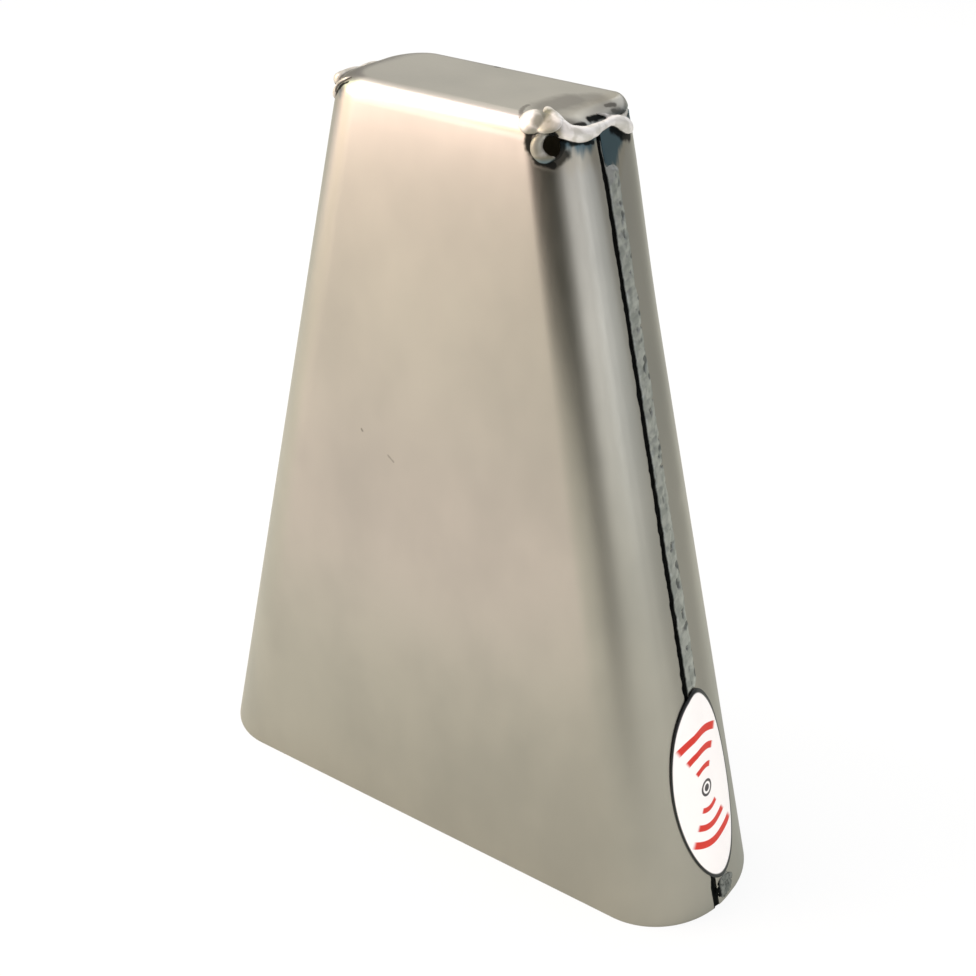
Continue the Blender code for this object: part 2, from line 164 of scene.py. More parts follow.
class Finishes(bpy.types.PropertyGroup):
    """Colours and finishes."""
    steel: colour("Steel", "Satin sheet steel", (0.600, 0.560, 0.505))
    steel_dark: colour("Steel shade", "Darker blotches of the same steel", (0.520, 0.490, 0.445))
    heat_blue: colour("Heat blue", "Steel blued beside a weld", (0.090, 0.160, 0.200))
    heat_straw: colour("Heat straw", "Outer ring of the heat tint", (0.480, 0.400, 0.270))
    # This black also serves as painted shade in the seam slots, at the weld toes, round the corner drops and
    # under the beads
    soot_and_shade: colour("Soot", "Oxide in joints and pits", (0.012, 0.014, 0.014))
    bead: colour("Weld bead", "As-laid weld metal", (0.700, 0.700, 0.670))
    bead_shade: colour("Weld shade", "Grey oxide on the weld metal", (0.520, 0.530, 0.505))
    drop: colour("Weld drop", "Bright metal of the crown beads", (0.860, 0.820, 0.790))
    drop_shade: colour("Drop shade", "Greyer patches of those beads", (0.640, 0.610, 0.560))
    # This olive also serves as painted shade on the right side of the front corner drops
    olive_and_shade: colour("Olive", "Thin oxide on the side of a drop", (0.230, 0.215, 0.160))
    film: colour("Label white", "White of the label", (0.930, 0.885, 0.865))
    line: colour("Label edge", "Black line round the label", (0.010, 0.011, 0.012))
    ink: colour("Label red", "Red print of the label", (0.640, 0.018, 0.005))
    roughness: share("Steel roughness", "Roughness of the satin sheet", 0.31)
    bead_roughness: share("Bead roughness", "Roughness of the seam beads", 0.32)
    drop_roughness: share("Drop roughness", "Roughness of the crown beads", 0.44)
    drop_metal: share("Drop metal", "How metallic the crown beads look", 0.45)


class StageSettings(bpy.types.PropertyGroup):
    """Floor, lights and camera."""
    floor: colour("Floor", "Pale paper under the bell", (0.800, 0.800, 0.800))
    floor_mirror: colour("Floor in the steel", "The same as the steel shows it", (0.380, 0.395, 0.375))
    glow_tint: colour("Glow tint", "Colour of the light in the floor", (0.960, 1.000, 0.880))
    floor_glow: share("Floor glow", "How much of that light it sees", 0.22)
    patch_tint: colour("Patch tint", "The same in front of the broad face", (1.000, 0.900, 0.840))
    floor_patch: share("Floor patch", "How much more of it the broad face sees there", 0.66)
    floor_dark: share("Floor dark", "How dark the right bend sees the floor in front of it", 0.55)
    floor_side: share("Floor side", "How much darker the labelled side sees the floor beside it", 0.35)
    floor_bright: share("Floor bright", "How much brighter the right flange sees the floor", 0.08)
    floor_white: share("Floor white", "Share of plain white that the floor shows", 0.86)
    world_level: amount("World", "Strength of the even light", 1.0)
    mirror_level: amount("Room", "How bright the steel shows the room", 0.25)
    lamps: amount("Lamps", "Multiplies the power of all lamps", 1.0)
    flag: BoolProperty(name="Flag", description="Stand a dark card in front, to draw the bend",
                       default=True)
    lens: FloatProperty(name="Lens", description="Focal length", default=60.90, unit="CAMERA")
    distance: length("Distance", "Camera to the middle of the bell", 0.47866)
    turn: angle("Turn", "Camera's angle round the bell", 35.18)
    rise: angle("Rise", "Camera's angle over the floor", 30.69)


GROUPS = (("cowbell_bell", BellSizes), ("cowbell_welds", WeldSizes), ("cowbell_label", LabelSizes),
          ("cowbell_finish", Finishes), ("cowbell_stage", StageSettings))


# Name, power, colour, place, target and size of each lamp
LAMPS = (
    ("Key", 4.35, (1.0, 0.77, 0.54), (-0.62, -0.42, 0.60), (0.0, 0.0, 0.12), 0.50),
    ("Key left", 3.19, (0.86, 1.0, 0.70), (-0.75, -0.20, 0.75), (0.0, 0.0, 0.12), 0.70),
    ("Key front", 0.90, (1.0, 0.77, 0.68), (-0.55, -0.75, 0.60), (0.0, 0.0, 0.12), 0.60),
    ("Top", 1.28, (1.0, 0.77, 0.86), (-0.35, -0.10, 0.80), (0.0, 0.0, 0.23), 0.30),
    ("Low front", 2.40, (1.0, 0.77, 0.70), (-0.62, -0.85, 0.16), (0.0, 0.0, 0.20), 0.55),
    ("Low left", 0.16, (1.0, 0.77, 0.86), (-0.75, -0.12, 0.10), (0.0, 0.0, 0.20), 0.35),
    ("Far left", 1.37, (1.0, 0.77, 0.58), (-0.90, -0.45, 0.25), (0.0, 0.0, 0.18), 0.50),
    ("Right front", 0.24, (0.92, 0.95, 1.0), (0.75, -0.14, 0.12), (0.0, 0.0, 0.14), 0.40),
    ("Right bend", 0.13, (0.92, 0.95, 1.0), (0.62, -0.40, 0.16), (0.04, -0.02, 0.19), 0.26),
    ("Right", 0.30, (0.84, 0.93, 1.0), (0.72, 0.12, 0.14), (0.0, 0.0, 0.16), 0.50),
    ("Top back", 0.55, (1.0, 0.98, 0.92), (-0.37, 0.27, 0.83), (0.0, 0.0, 0.23), 0.45),
    ("Back", 0.51, (0.99, 1.0, 0.89), (-0.35, 0.75, 0.60), (0.0, 0.0, 0.20), 0.60),
    ("Back end", 1.00, (0.84, 0.92, 1.0), (0.12, 0.75, 0.60), (0.0, 0.0, 0.22), 0.65),
)
# Place, turn and size of the dark card
CARD_PLACE = (0.065, -0.40, 0.195)
CARD_TURN = math.radians(8.0)
CARD_SIZE = (0.42, 0.29, 1.0, 1.0)
# Parts of the floor that the steel sees lighter or darker, in millimetres. Four edges are where it starts,
# is full, is full no longer and ends. A patch lies before the broad face. Two wedges spread from the foot of
# the right bend, one dark and one bright, given as X over Y. A dark side lies beside the labelled side
PATCH_X = (-520.0, -300.0, -60.0, 60.0)
PATCH_Y = (-340.0, -220.0, -160.0, -90.0)
BEND_FOOT = (58.0, -20.0)
DARK_WEDGE = (0.15, 0.60, 0.95, 1.45)
DARK_FAR = (60.0, 260.0)
SIDE_X = (90.0, 180.0)
SIDE_Y = (-10.0, 90.0)
BRIGHT_WEDGE = (1.50, 1.95)
BRIGHT_X = (130.0, 300.0)
BRIGHT_Y = (40.0, -20.0)
# Width of the photograph and its framing, in pixels
PICTURE = 976
SHIFT_ACROSS = 9.86
SHIFT_UP = -17.91


# Stations of weld beads: place along X and Y, height over the crown and radius, all in millimetres

CROWN_BEAD = (
    (25.8, -7.4, -0.4, 0.8), (27.6, -9.7, -0.2, 1.4), (30.6, -12.2, -0.6, 2.0), (33.0, -13.0, -1.8, 2.2),
    (35.0, -12.6, -2.9, 2.15), (36.5, -11.2, -3.5, 2.1), (37.6, -9.3, -3.8, 1.95),
    (38.0, -6.3, -3.9, 1.75), (38.0, -3.0, -3.8, 1.35), (38.0, -0.3, -3.8, 1.15), (38.1, 2.3, -3.8, 1.25),
    (38.4, 4.8, -4.5, 1.8), (38.6, 7.0, -5.6, 2.1), (38.7, 8.8, -6.8, 1.9), (38.7, 10.2, -7.8, 1.3))
CROWN_RIDGE = (
    (35.6, -0.5, -1.5, 0.35), (36.4, 1.0, -2.0, 0.6), (37.1, 2.5, -2.7, 0.65), (37.8, 4.6, -3.5, 0.8),
    (38.0, 6.6, -4.0, 0.85), (37.7, 8.6, -4.2, 0.9), (37.1, 10.4, -4.3, 0.9), (36.2, 12.2, -4.3, 0.85),
    (35.2, 14.0, -4.3, 0.8), (34.1, 15.3, -4.3, 0.7))
LEFT_CURL = (
    (30.4, -13.7, -0.8, 0.3), (31.5, -14.0, -1.4, 0.55), (32.8, -13.9, -2.2, 0.7),
    (34.2, -13.5, -3.2, 0.75), (35.6, -12.9, -4.6, 0.85), (36.7, -12.5, -6.0, 0.9),
    (37.1, -12.3, -7.1, 0.8), (37.1, -12.2, -8.0, 0.45))
# The parts of the bead and of the ridge that the -X end has too
LEFT_BEAD_STATIONS = slice(6, None)
LEFT_RIDGE_STATIONS = slice(4, 8)

# Flattened drops of the right front corner, in millimetres: place along X and Y, half length, half width
# and rise
FLAT_DROPS = ((26.9, -15.5, 3.7, 3.5, 2.0), (30.9, -15.0, 3.9, 3.3, 1.0))
# Lip of the right front relief hole: degrees round it and radius of the lip in millimetres
HOLE_LIP = ((95, 0.5), (125, 0.95), (155, 1.4), (185, 1.6), (215, 1.6), (245, 1.45), (272, 1.1), (298, 0.6))
LIP_REACH = 2.95
LIP_SUNK = 0.3

# Cross-section of a seam weld, in millimetres: where the proud bead starts and ends across the slot, its
# columns, and the floor of the black shelf in the slot. Then across, rise and darkness of the shelf and the
# root;
# that darkness is painted shade in the slot
BEAD_TOE = 0.80
BEAD_FAR = 6.0
BEAD_COLUMNS = 22
SHELF_FLOOR = -1.3
SHELF = ((-0.97, -1.15, 1.0), (-0.6, -1.2, 1.0), (-0.1, -1.2, 1.0), (0.4, -1.0, 1.0), (0.65, -0.5, 0.9))
ROOT = ((BEAD_FAR, -0.5, 0.0), (1.0, -0.7, 0.0), (0.97, -1.5, 0.4), (0.7, -1.9, 0.4), (0.0, -2.1, 0.4),
        (-0.7, -1.9, 0.4), (-0.97, -1.5, 0.6))
# Length of a seam weld, in millimetres: its foot over the rim, its top below the crown slit, how far the
# proud bead reaches under the label and stays below that top, its run-outs and the spacing of its rows
WELD_FOOT = 0.06
WELD_BELOW_SLIT = 3.0
BEAD_UNDER_LABEL = 1.5
BEAD_BELOW_TOP = 5.0
RUN_OUT_TOP = 5.0
RUN_OUT_FOOT = {1: 3.0, -1: 9.0}
ROW_SPACING = 0.22
# The tacks above the rim, in millimetres: half height, how far the middle lies behind the seam, and how far
# they stand out of the sheet and reach into it
TACK_HALF_HEIGHT = 3.7
TACK_OFFSET = 4.9
TACK_OUT = 0.20
TACK_IN = 1.2

# Stains and painted shade: two places along X, Y and Z in millimetres with the line between them, its radius
# and strength
SHEET_MARKS_AND_SHADE = (
    # Painted shade along the crease where the end of the crown turns down, and a small mark on the flat of
    # the crown
    ((25.8, -6.2, 230.0), (27.4, 1.0, 230.0), 5.2, 0.40),
    ((27.4, 1.0, 230.0), (31.0, 5.6, 230.0), 4.2, 0.30),
    ((-3.2, 12.9, 230.0), (-2.8, 13.1, 230.0), 0.7, 0.9),
    # Spots on the turned-down end
    ((35.4, 4.2, 229.4), (36.5, 6.6, 229.0), 0.8, 0.55),
    ((37.2, 5.0, 228.0), (37.9, 9.3, 226.7), 0.8, 0.55),
    ((38.1, 11.0, 226.2), (37.4, 12.4, 224.8), 0.9, 0.6),
    # Painted shadow in the hollows behind the bead
    ((35.5, -9.6, 228.2), (36.4, -7.2, 227.9), 0.9, 0.9),
    ((35.9, -4.2, 228.2), (36.8, 0.1, 227.9), 1.1, 1.0),
    ((36.8, 0.1, 227.9), (37.5, 1.8, 227.1), 0.8, 0.9),
    # Painted shadow round the corner drops and the relief hole
    ((20.9, -8.4, 230.0), (21.6, -12.6, 230.0), 0.7, 0.45),
    ((21.6, -12.6, 230.0), (24.6, -16.6, 228.1), 0.7, 0.5),
    ((24.6, -16.6, 228.1), (27.2, -17.2, 226.8), 1.0, 0.85),
    ((27.2, -17.2, 226.8), (27.6, -17.8, 223.2), 1.3, 0.95),
    ((27.6, -17.8, 223.2), (30.0, -17.8, 220.3), 1.3, 0.95),
    ((30.0, -17.8, 220.3), (33.6, -16.2, 219.6), 1.5, 0.95),
    ((33.6, -16.2, 219.6), (35.6, -14.0, 222.2), 1.5, 0.8),
    # Painted shadow under the bead
    ((38.5, 2.4, 224.5), (39.0, 6.0, 222.2), 1.4, 0.95),
    ((39.0, 6.0, 222.2), (39.2, 9.8, 220.2), 1.5, 0.9),
    ((34.3, -14.6, 225.4), (37.0, -11.6, 224.3), 0.7, 0.9),
    ((37.0, -11.6, 224.3), (38.8, -6.6, 223.8), 0.7, 0.9),
    # Painted shade of a black slot beside the left curl, drawn on the sheet
    ((-30.6, -15.3, 228.4), (-31.6, -15.1, 227.6), 0.55, 1.0),
    ((-31.6, -15.1, 227.6), (-34.0, -14.8, 225.4), 0.65, 1.0),
    ((-34.0, -14.8, 225.4), (-36.2, -13.2, 222.6), 0.7, 1.0),
    # Two nicks in the broad face
    ((-24.4, -22.6, 130.9), (-24.2, -22.6, 130.6), 0.55, 0.45),
    ((-14.6, -22.8, 125.6), (-12.9, -22.9, 124.3), 0.45, 0.32))
# Thin grey oxide on the drops and beads; the first two rows are olive oxide and painted shade on the right
# side of the front corner drops
DROP_OXIDE_AND_SHADE = (
    ((28.8, -13.0, 230.6), (31.2, -15.6, 228.2), 2.5, 1.0),
    ((29.4, -15.8, 229.6), (33.0, -16.0, 227.6), 2.6, 0.85),
    ((37.9, 8.4, 226.2), (34.4, 15.0, 226.0), 2.4, 0.55),
    ((-38.0, -9.0, 226.4), (-38.0, 8.0, 226.4), 5.0, 0.45),
    ((28.4, -17.6, 225.6), (28.6, -18.0, 221.8), 3.6, 0.85),
    ((30.4, -17.8, 220.8), (33.0, -17.0, 220.4), 2.4, 1.0),
    ((-31.5, -12.0, 229.8), (-37.6, -11.0, 222.4), 4.0, 0.35))

# Heat tint below the crown slits, in millimetres: how far it reaches on the -X end, how much further on
# the labelled end and beside its seam, and how much the streaks and clouds move its edge
HEAT_REACH = 0.6
HEAT_LABELLED = 2.6
HEAT_BY_SEAM = 6.5
HEAT_STREAKS = 7.0
HEAT_CLOUDS = 3.0
# Edges along Y of the strip beside the seam
HEAT_STRIP = (-5.2, -4.2, 2.5, 7.5)
# Print of the label, in millimetres: radius and half width of each red stroke, the edge of the dark disc,
# and the radius and edge of the white ring in it
RED_STROKES = ((7.0, 0.85), (12.5, 1.05), (18.0, 1.2))
DISC_EDGE = (2.75, 2.55)
DISC_COLOUR = (0.055, 0.045, 0.050)
RING_RADIUS = 1.5
RING_EDGE = (0.45, 0.25)


# Form of the bell

class BellForm:
    """The skin of the bell, worked out from the sizes in the panel."""

    def __init__(self, scene):
        self.sizes = scene.cowbell_bell
        self.fold_foot = self.sizes.height - self.sizes.fold_radius
        self.slit = self.sizes.height - self.sizes.slit_drop
        taper = (self.sizes.mouth_depth - self.sizes.crown_depth) / 2 / self.sizes.height
        self.lean = math.atan(taper + 3 * self.sizes.run_in / self.sizes.run_in_length)

    def section(self, z):
        """Half width, half depth, bend reach and bend curl at height z."""
        s = self.sizes
        up = min(z, self.fold_foot) / s.height
        half_width = (s.mouth_width + (s.crown_width - s.mouth_width) * up) / 2
        half_depth = (s.mouth_depth + (s.crown_depth - s.mouth_depth) * up) / 2
        ease = min(1.0, max(0.0, 1.0 - (self.fold_foot - z) / s.run_in_length))
        half_depth -= s.run_in * ease ** 3
        flat = s.mouth_flat + (s.crown_flat - s.mouth_flat) * up
        reach = s.mouth_reach + (s.crown_reach - s.mouth_reach) * up
        curl = half_depth - flat / 2
        rise = min(1.0, max(0.0, (z - self.fold_foot) / s.fold_radius))
        start = math.sin(self.lean)
        turned = start + (1.0 - start) * rise
        inward = (math.cos(self.lean) - math.sqrt(1.0 - turned * turned)) / (1.0 - start)
        end = s.end_reach * inward
        fold = s.fold_radius * inward
        least = s.sheet / 2
        return half_width - end, half_depth - fold, max(reach - end, least), max(curl - fold, least)

    def seam(self, z):
        """Depth of the middle of the seam at height z."""
        s = self.sizes
        return -s.seam_mouth + (s.seam_mouth - s.seam_crown) * z / s.height

    def ridge(self, y, z):
        """How far the flanges stand out at depth y and height z."""
        s = self.sizes
        along = smoothstep(0.0, 0.060, z) * smoothstep(s.height - 0.008, s.height - 0.016, z)
        return s.ridge * along * max(0.0, 1.0 - abs(y - self.seam(z)) / s.ridge_reach)

    def corner(self, side, y, z):
        """How much the bend tightens and how far the crown end stands out at a back corner."""
        s = self.sizes
        back = smoothstep(s.square_start, s.square_full, y)
        turned_in = self.section(self.fold_foot)[0] - self.section(max(z, self.fold_foot))[0]
        if side < 0:
            return 0.0, -s.round_end * back * turned_in
        near = smoothstep(s.height - s.square_height, s.height - 0.006, z)
        return s.square_bend * back * near, s.square_end * back * turned_in

    def squared(self, side, x, y, z):
        """The half width x of a point of the even skin, moved for the back corners of the crown."""
        if z < self.sizes.height - self.sizes.square_height:
            return x + self.ridge(y, z)
        tighter, out = self.corner(side, y, z)
        return x + (self.section(z)[0] - x) * tighter + out + self.ridge(y, z)

    def skin(self, y, z):
        """Point of the +X side at depth y and height z."""
        half_width, half_depth, reach, curl = self.section(z)
        past = min(1.0, max(0.0, abs(y) - (half_depth - curl)) / curl)
        x = half_width - reach + reach * math.sqrt(1.0 - past * past)
        return Vector((self.squared(1, x, y, z), y, z))

    def normal(self, y, z):
        """Outward direction of that point."""
        step = 0.1 * MM
        across = self.skin(y + step, z) - self.skin(y - step, z)
        up = self.skin(y, min(z + step, self.sizes.height)) - self.skin(y, z - step)
        return across.cross(up).normalized()

    def relief(self, side=1, face=-1):
        """Centre and outward direction of the relief hole at one corner."""
        z = self.sizes.height - self.sizes.relief_drop
        half_width, half_depth, reach, curl = self.section(z)
        turn = self.sizes.relief_turn if side > 0 else self.sizes.left_relief_turn
        cosine, sine = math.cos(turn), math.sin(turn)
        x, y = half_width - reach + reach * cosine, half_depth - curl + curl * sine
        centre = Vector((side * x, face * y, z))
        return centre, Vector((side * cosine / reach, face * sine / curl, 0.0)).normalized()

    def seated(self, place, outward):
        """The place slid along a direction until it lies on the skin."""
        half_width, half_depth, reach, curl = self.section(place.z)
        low, high = place - outward * 2 * MM, place + outward * 2 * MM
        for _ in range(24):
            middle = (low + high) / 2
            tighter, out = self.corner(1 if middle.x > 0 else -1, middle.y, middle.z)
            x = (abs(middle.x) - half_width * tighter - out) / (1.0 - tighter)
            past_x = max(0.0, (x - half_width + reach) / reach)
            past_y = max(0.0, (abs(middle.y) - half_depth + curl) / curl)
            if past_x ** 2 + past_y ** 2 > 1.0:
                high = middle
            else:
                low = middle
        return (low + high) / 2

    def fold_height(self, y):
        """Height of the crown fold at depth y."""
        low, high = self.fold_foot, self.sizes.height
        for _ in range(24):
            middle = (low + high) / 2
            if self.section(middle)[1] > abs(y):
                low = middle
            else:
                high = middle
        return (low + high) / 2

    def fold_normal(self, z):
        """Outward direction of the front fold at height z."""
        step = 0.05 * MM
        inward = self.section(z - step)[1] - self.section(min(z + step, self.sizes.height))[1]
        return Vector((0.0, -2 * step, inward)).normalized()

    def half_round(self, z, face):
        """Points round one half of the skin at height z, from the +X slot to the -X slot."""
        half_width, half_depth, reach, curl = self.section(z)
        flat = half_depth - curl
        start = face * self.seam(z) + self.sizes.seam_gap / 2
        fine = 72
        side = []
        if start < -flat:
            turn = math.asin(min(1.0, (-flat - start) / curl))
            side += [(half_width - reach + reach * math.cos(turn * (1 - step / fine)),
                      -flat - curl * math.sin(turn * (1 - step / fine))) for step in range(fine)]
            start = -flat
        turn = math.asin(min(1.0, max(0.0, start - flat) / curl))
        if start < flat:
            side += [(half_width, start + (flat - start) * step / 12) for step in range(12)]
        side += [(half_width - reach + reach * math.cos(turn + (math.pi / 2 - turn) * step / fine),
                  flat + curl * math.sin(turn + (math.pi / 2 - turn) * step / fine))
                 for step in range(fine + 1)]
        right = [Vector((self.squared(1, x, face * depth, z), face * depth)) for x, depth in side]
        left = [Vector((-self.squared(-1, x, face * depth, z), face * depth)) for x, depth in side]
        return right + left[::-1]

    def columns(self, z, face, count):
        """The same line cut in count parts, closer together where it bends."""
        line = self.half_round(z, face)
        spacing, turning = 1.6 * MM, math.radians(2.0)
        marks = [0.0]
        for index in range(len(line) - 1):
            step = line[index + 1] - line[index]
            after = line[min(index + 2, len(line) - 1)] - line[index + 1]
            bend = step.angle(after, 0.0) if after.length > 0 and step.length > 0 else 0.0
            marks.append(marks[-1] + step.length / spacing + bend / turning)
        points, at = [], 0
        for column in range(count + 1):
            wanted = marks[-1] * column / count
            while at < len(marks) - 2 and marks[at + 1] < wanted:
                at += 1
            span = marks[at + 1] - marks[at]
            part = (wanted - marks[at]) / span if span > 0 else 0.0
            points.append(line[at].lerp(line[at + 1], min(1.0, max(0.0, part))))
        return points

    def rows(self):
        """Heights of the rows of the skin: close together at the rim and round the relief holes."""
        s = self.sizes
        heights = [0.0, 1.0 * MM, 3.0 * MM]
        low = s.height - s.relief_drop - s.relief_radius - 1.6 * MM
        steps = round((low - heights[-1]) / (5.0 * MM))
        heights += [heights[-1] + (low - heights[-1]) * step / steps for step in range(1, steps + 1)]
        slit_low, slit_high = self.slit - s.slit_width / 2, self.slit + s.slit_width / 2
        for foot, top in ((low, slit_low), (slit_low, slit_high)):
            steps = round((top - foot) / (0.42 * MM))
            heights += [foot + (top - foot) * step / steps for step in range(1, steps + 1)]
        first = math.asin((slit_high - self.fold_foot) / s.fold_radius)
        steps = 16
        heights += [self.fold_foot + s.fold_radius * math.sin(first + (math.pi / 2 - first) * step / steps)
                    for step in range(1, steps + 1)]
        return heights


# Small tools for meshes

def rough(point, size, seed=0.0):
    """Smooth noise from -1 to 1 with lumps of this size."""
    return noise.noise(Vector(point) / size + Vector((seed, 2.3 * seed, -1.7 * seed)))


def smoothstep(low, high, value):
    """0 below low, 1 above high, and smooth between."""
    part = min(1.0, max(0.0, (value - low) / (high - low)))
    return part * part * (3 - 2 * part)


def as_piece(name, work, material, nodes, smooth=True):
    """Turn a bmesh into a piece that rides on the bell and stands for CAD nodes."""
    mesh = bpy.data.meshes.new(name)
    for face in work.faces:
        face.smooth = smooth
    work.to_mesh(mesh)
    work.free()
    piece = bpy.data.objects.new(name, mesh)
    bpy.context.scene.collection.objects.link(piece)
    piece.data.materials.append(material)
    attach(piece, "root")
    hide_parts(*nodes)
    return piece


def with_modifier(work, add):
    """Put a bmesh through one modifier, which the function add sets up."""
    mesh = bpy.data.meshes.new("bench")
    work.to_mesh(mesh)
    work.free()
    bench = bpy.data.objects.new("bench", mesh)
    bpy.context.scene.collection.objects.link(bench)
    add(bench)
    bpy.context.view_layer.update()
    made = bpy.data.meshes.new_from_object(bench.evaluated_get(bpy.context.evaluated_depsgraph_get()))
    bpy.data.objects.remove(bench)
    bpy.data.meshes.remove(mesh)
    work = bmesh.new()
    work.from_mesh(made)
    bpy.data.meshes.remove(made)
    return work


def joined_by_voxels(work, voxel, passes):
    """Join the overlapping drops of a bmesh into one skin by a voxel remesh, and ease it."""
    def add_remesh(drops):
        remesh = drops.modifiers.new("Join", "REMESH")
        remesh.mode = "VOXEL"
        remesh.voxel_size = voxel

    work = with_modifier(work, add_remesh)
    for _ in range(passes):
        bmesh.ops.smooth_vert(work, verts=work.verts, factor=0.5, use_axis_x=True, use_axis_y=True,
                              use_axis_z=True)
    work.normal_update()
    return work


def add_drop(work, centre, radius, axes=None):
    """One round or stretched drop."""
    place = Matrix.Translation(centre) @ (axes.to_4x4() if axes else Matrix.Identity(4))
    bmesh.ops.create_icosphere(work, subdivisions=3, radius=radius, matrix=place)


def smooth_line(stations, spacing):
    """A smooth curve through stations, each a tuple of numbers that starts with a place."""
    fine = []
    for index in range(len(stations) - 1):
        before, here = stations[max(index - 1, 0)], stations[index]
        there, after = stations[index + 1], stations[min(index + 2, len(stations) - 1)]
        steps = max(1, round((Vector(there[:3]) - Vector(here[:3])).length / spacing))
        for step in range(steps):
            t = step / steps
            fine.append([h + t * ((n - b) / 2 + t * ((2 * b - 5 * h + 4 * n - a) / 2
                                                      + t * (3 * h - 3 * n + a - b) / 2))
                         for b, h, n, a in zip(before, here, there, after)])
    fine.append(list(stations[-1]))
    return fine


# Materials

class Wire:
    """A socket of a node tree that takes part in sums."""

    def __init__(self, finish, socket):
        self.finish = finish
        self.socket = socket

    def maths(self, operation, *values):
        return self.finish.node("ShaderNodeMath", {"operation": operation}, *values)

    def __add__(self, other):
        return self.maths("ADD", self, other)

    __radd__ = __add__

    def __sub__(self, other):
        return self.maths("SUBTRACT", self, other)

    def __rsub__(self, other):
        return self.maths("SUBTRACT", other, self)

    def __mul__(self, other):
        return self.maths("MULTIPLY", self, other)

    __rmul__ = __mul__

    def __truediv__(self, other):
        return self.maths("DIVIDE", self, other)

    def __pow__(self, other):
        return self.maths("POWER", self, other)

    def __abs__(self):
        return self.maths("ABSOLUTE", self)

    def least(self, other):
        return self.maths("MINIMUM", self, other)

    def most(self, other):
        return self.maths("MAXIMUM", self, other)

    def between(self, edges):
        """1 between the two middle edges, falling to 0 at the outer ones."""
        return self.step(edges[0], edges[1]) * self.step(edges[3], edges[2])

    def step(self, low, high):
        """0 at low and 1 at high, smooth between."""
        return self.finish.node("ShaderNodeMapRange", {"interpolation_type": "SMOOTHSTEP"}, self, low, high)


class Finish:
    """A material and the nodes that make it."""

    def __init__(self, name, kind=bpy.data.materials):
        self.material = kind.new(name)
        self.material.use_nodes = True
        self.tree = self.material.node_tree
        self.shader = next(node for node in self.tree.nodes
                           if node.type in {"BSDF_PRINCIPLED", "BACKGROUND"})
        self.place = self.node("ShaderNodeTexCoord", {}, output="Object")

    def node(self, kind, settings, *values, output=0, **named):
        """Make a node, set it, feed its inputs in order or by name, and give one of its outputs."""
        made = self.tree.nodes.new(kind)
        for key, value in settings.items():
            setattr(made, key, value)
        for key, value in list(enumerate(values)) + list(named.items()):
            self.feed(made.inputs[key if isinstance(key, int) else key.replace("_", " ")], value)
        return Wire(self, made.outputs[output])

    def feed(self, socket, value):
        """Link a wire to a socket or write a plain value on it."""
        if isinstance(value, Wire):
            self.tree.links.new(value.socket, socket)
        elif socket.type == "RGBA" and len(value) == 3:
            socket.default_value = (*value, 1.0)
        else:
            socket.default_value = value

    def axes(self):
        """X, Y and Z of the place, in millimetres."""
        split = self.tree.nodes.new("ShaderNodeSeparateXYZ")
        self.tree.links.new(self.place.socket, split.inputs[0])
        return [Wire(self, split.outputs[axis]) * 1000.0 for axis in range(3)]

    def stretched(self, scale):
        """The place scaled by three numbers."""
        return self.node("ShaderNodeMapping", {}, self.place, Scale=scale)

    def cloud(self, place, scale, detail=2.0, rough_share=0.5, lean=0.0):
        """Noise from 0 to 1."""
        return self.node("ShaderNodeTexNoise", {"noise_dimensions": "3D"}, Vector=place, Scale=scale,
                         Detail=detail, Roughness=rough_share, Distortion=lean)

    def mix(self, factor, first, second):
        """Two colours mixed."""
        made = self.tree.nodes.new("ShaderNodeMix")
        made.data_type = "RGBA"
        self.feed(made.inputs[0], factor)
        self.feed(made.inputs[6], first)
        self.feed(made.inputs[7], second)
        return Wire(self, made.outputs[2])

    def attribute(self, name):
        """A number kept on the piece's points."""
        return self.node("ShaderNodeAttribute", {"attribute_name": name}, output="Fac")

    def bump(self, height, strength, distance):
        """A normal from heights."""
        return self.node("ShaderNodeBump", {}, Strength=strength, Distance=distance, Height=height)

    def vector(self, operation, *values, output=0, **named):
        return self.node("ShaderNodeVectorMath", {"operation": operation}, *values, output=output, **named)

    def soft_line(self, place, start, end, radius, strength):
        """A soft line between two places given in millimetres."""
        start, along = Vector(start) * MM, (Vector(end) - Vector(start)) * MM
        from_start = self.vector("SUBTRACT", place, tuple(start))
        part = self.vector("DOT_PRODUCT", from_start, tuple(along / along.length_squared), output="Value")
        nearest = self.vector("SCALE", tuple(along), Scale=part.most(0.0).least(1.0))
        away = self.vector("DISTANCE", from_start, nearest, output="Value") / (radius * MM)
        return away.step(1.25, 0.45) * strength

    def stains_and_shade(self, table):
        """The strongest of a table of stains and painted shade, with uneven edges."""
        lumps = self.node("ShaderNodeTexNoise", {}, Vector=self.place, Scale=420.0, Detail=2.0,
                          output="Color")
        shift = self.vector("SCALE", self.vector("SUBTRACT", lumps, (0.5, 0.5, 0.5)), Scale=1.6 * MM)
        uneven = self.vector("ADD", self.place, shift)
        spots = [self.soft_line(uneven, *row) for row in table]
        while len(spots) > 1:
            spots = [first.most(second) for first, second in zip(spots[::2], spots[1::2] + spots[-1:])]
        return spots[0]

    def rays(self):
        """1 for what the camera sees, also through glass, and 1 for what a mirror shows."""
        path = self.tree.nodes.new("ShaderNodeLightPath")
        camera, glass, glossy = (Wire(self, path.outputs[name])
                                 for name in ("Is Camera Ray", "Is Transmission Ray", "Is Glossy Ray"))
        return camera.most(glass), glossy

    def surface(self, **values):
        """Feed the shader."""
        for key, value in values.items():
            self.feed(self.shader.inputs[key.replace("_", " ")], value)
        return self.material


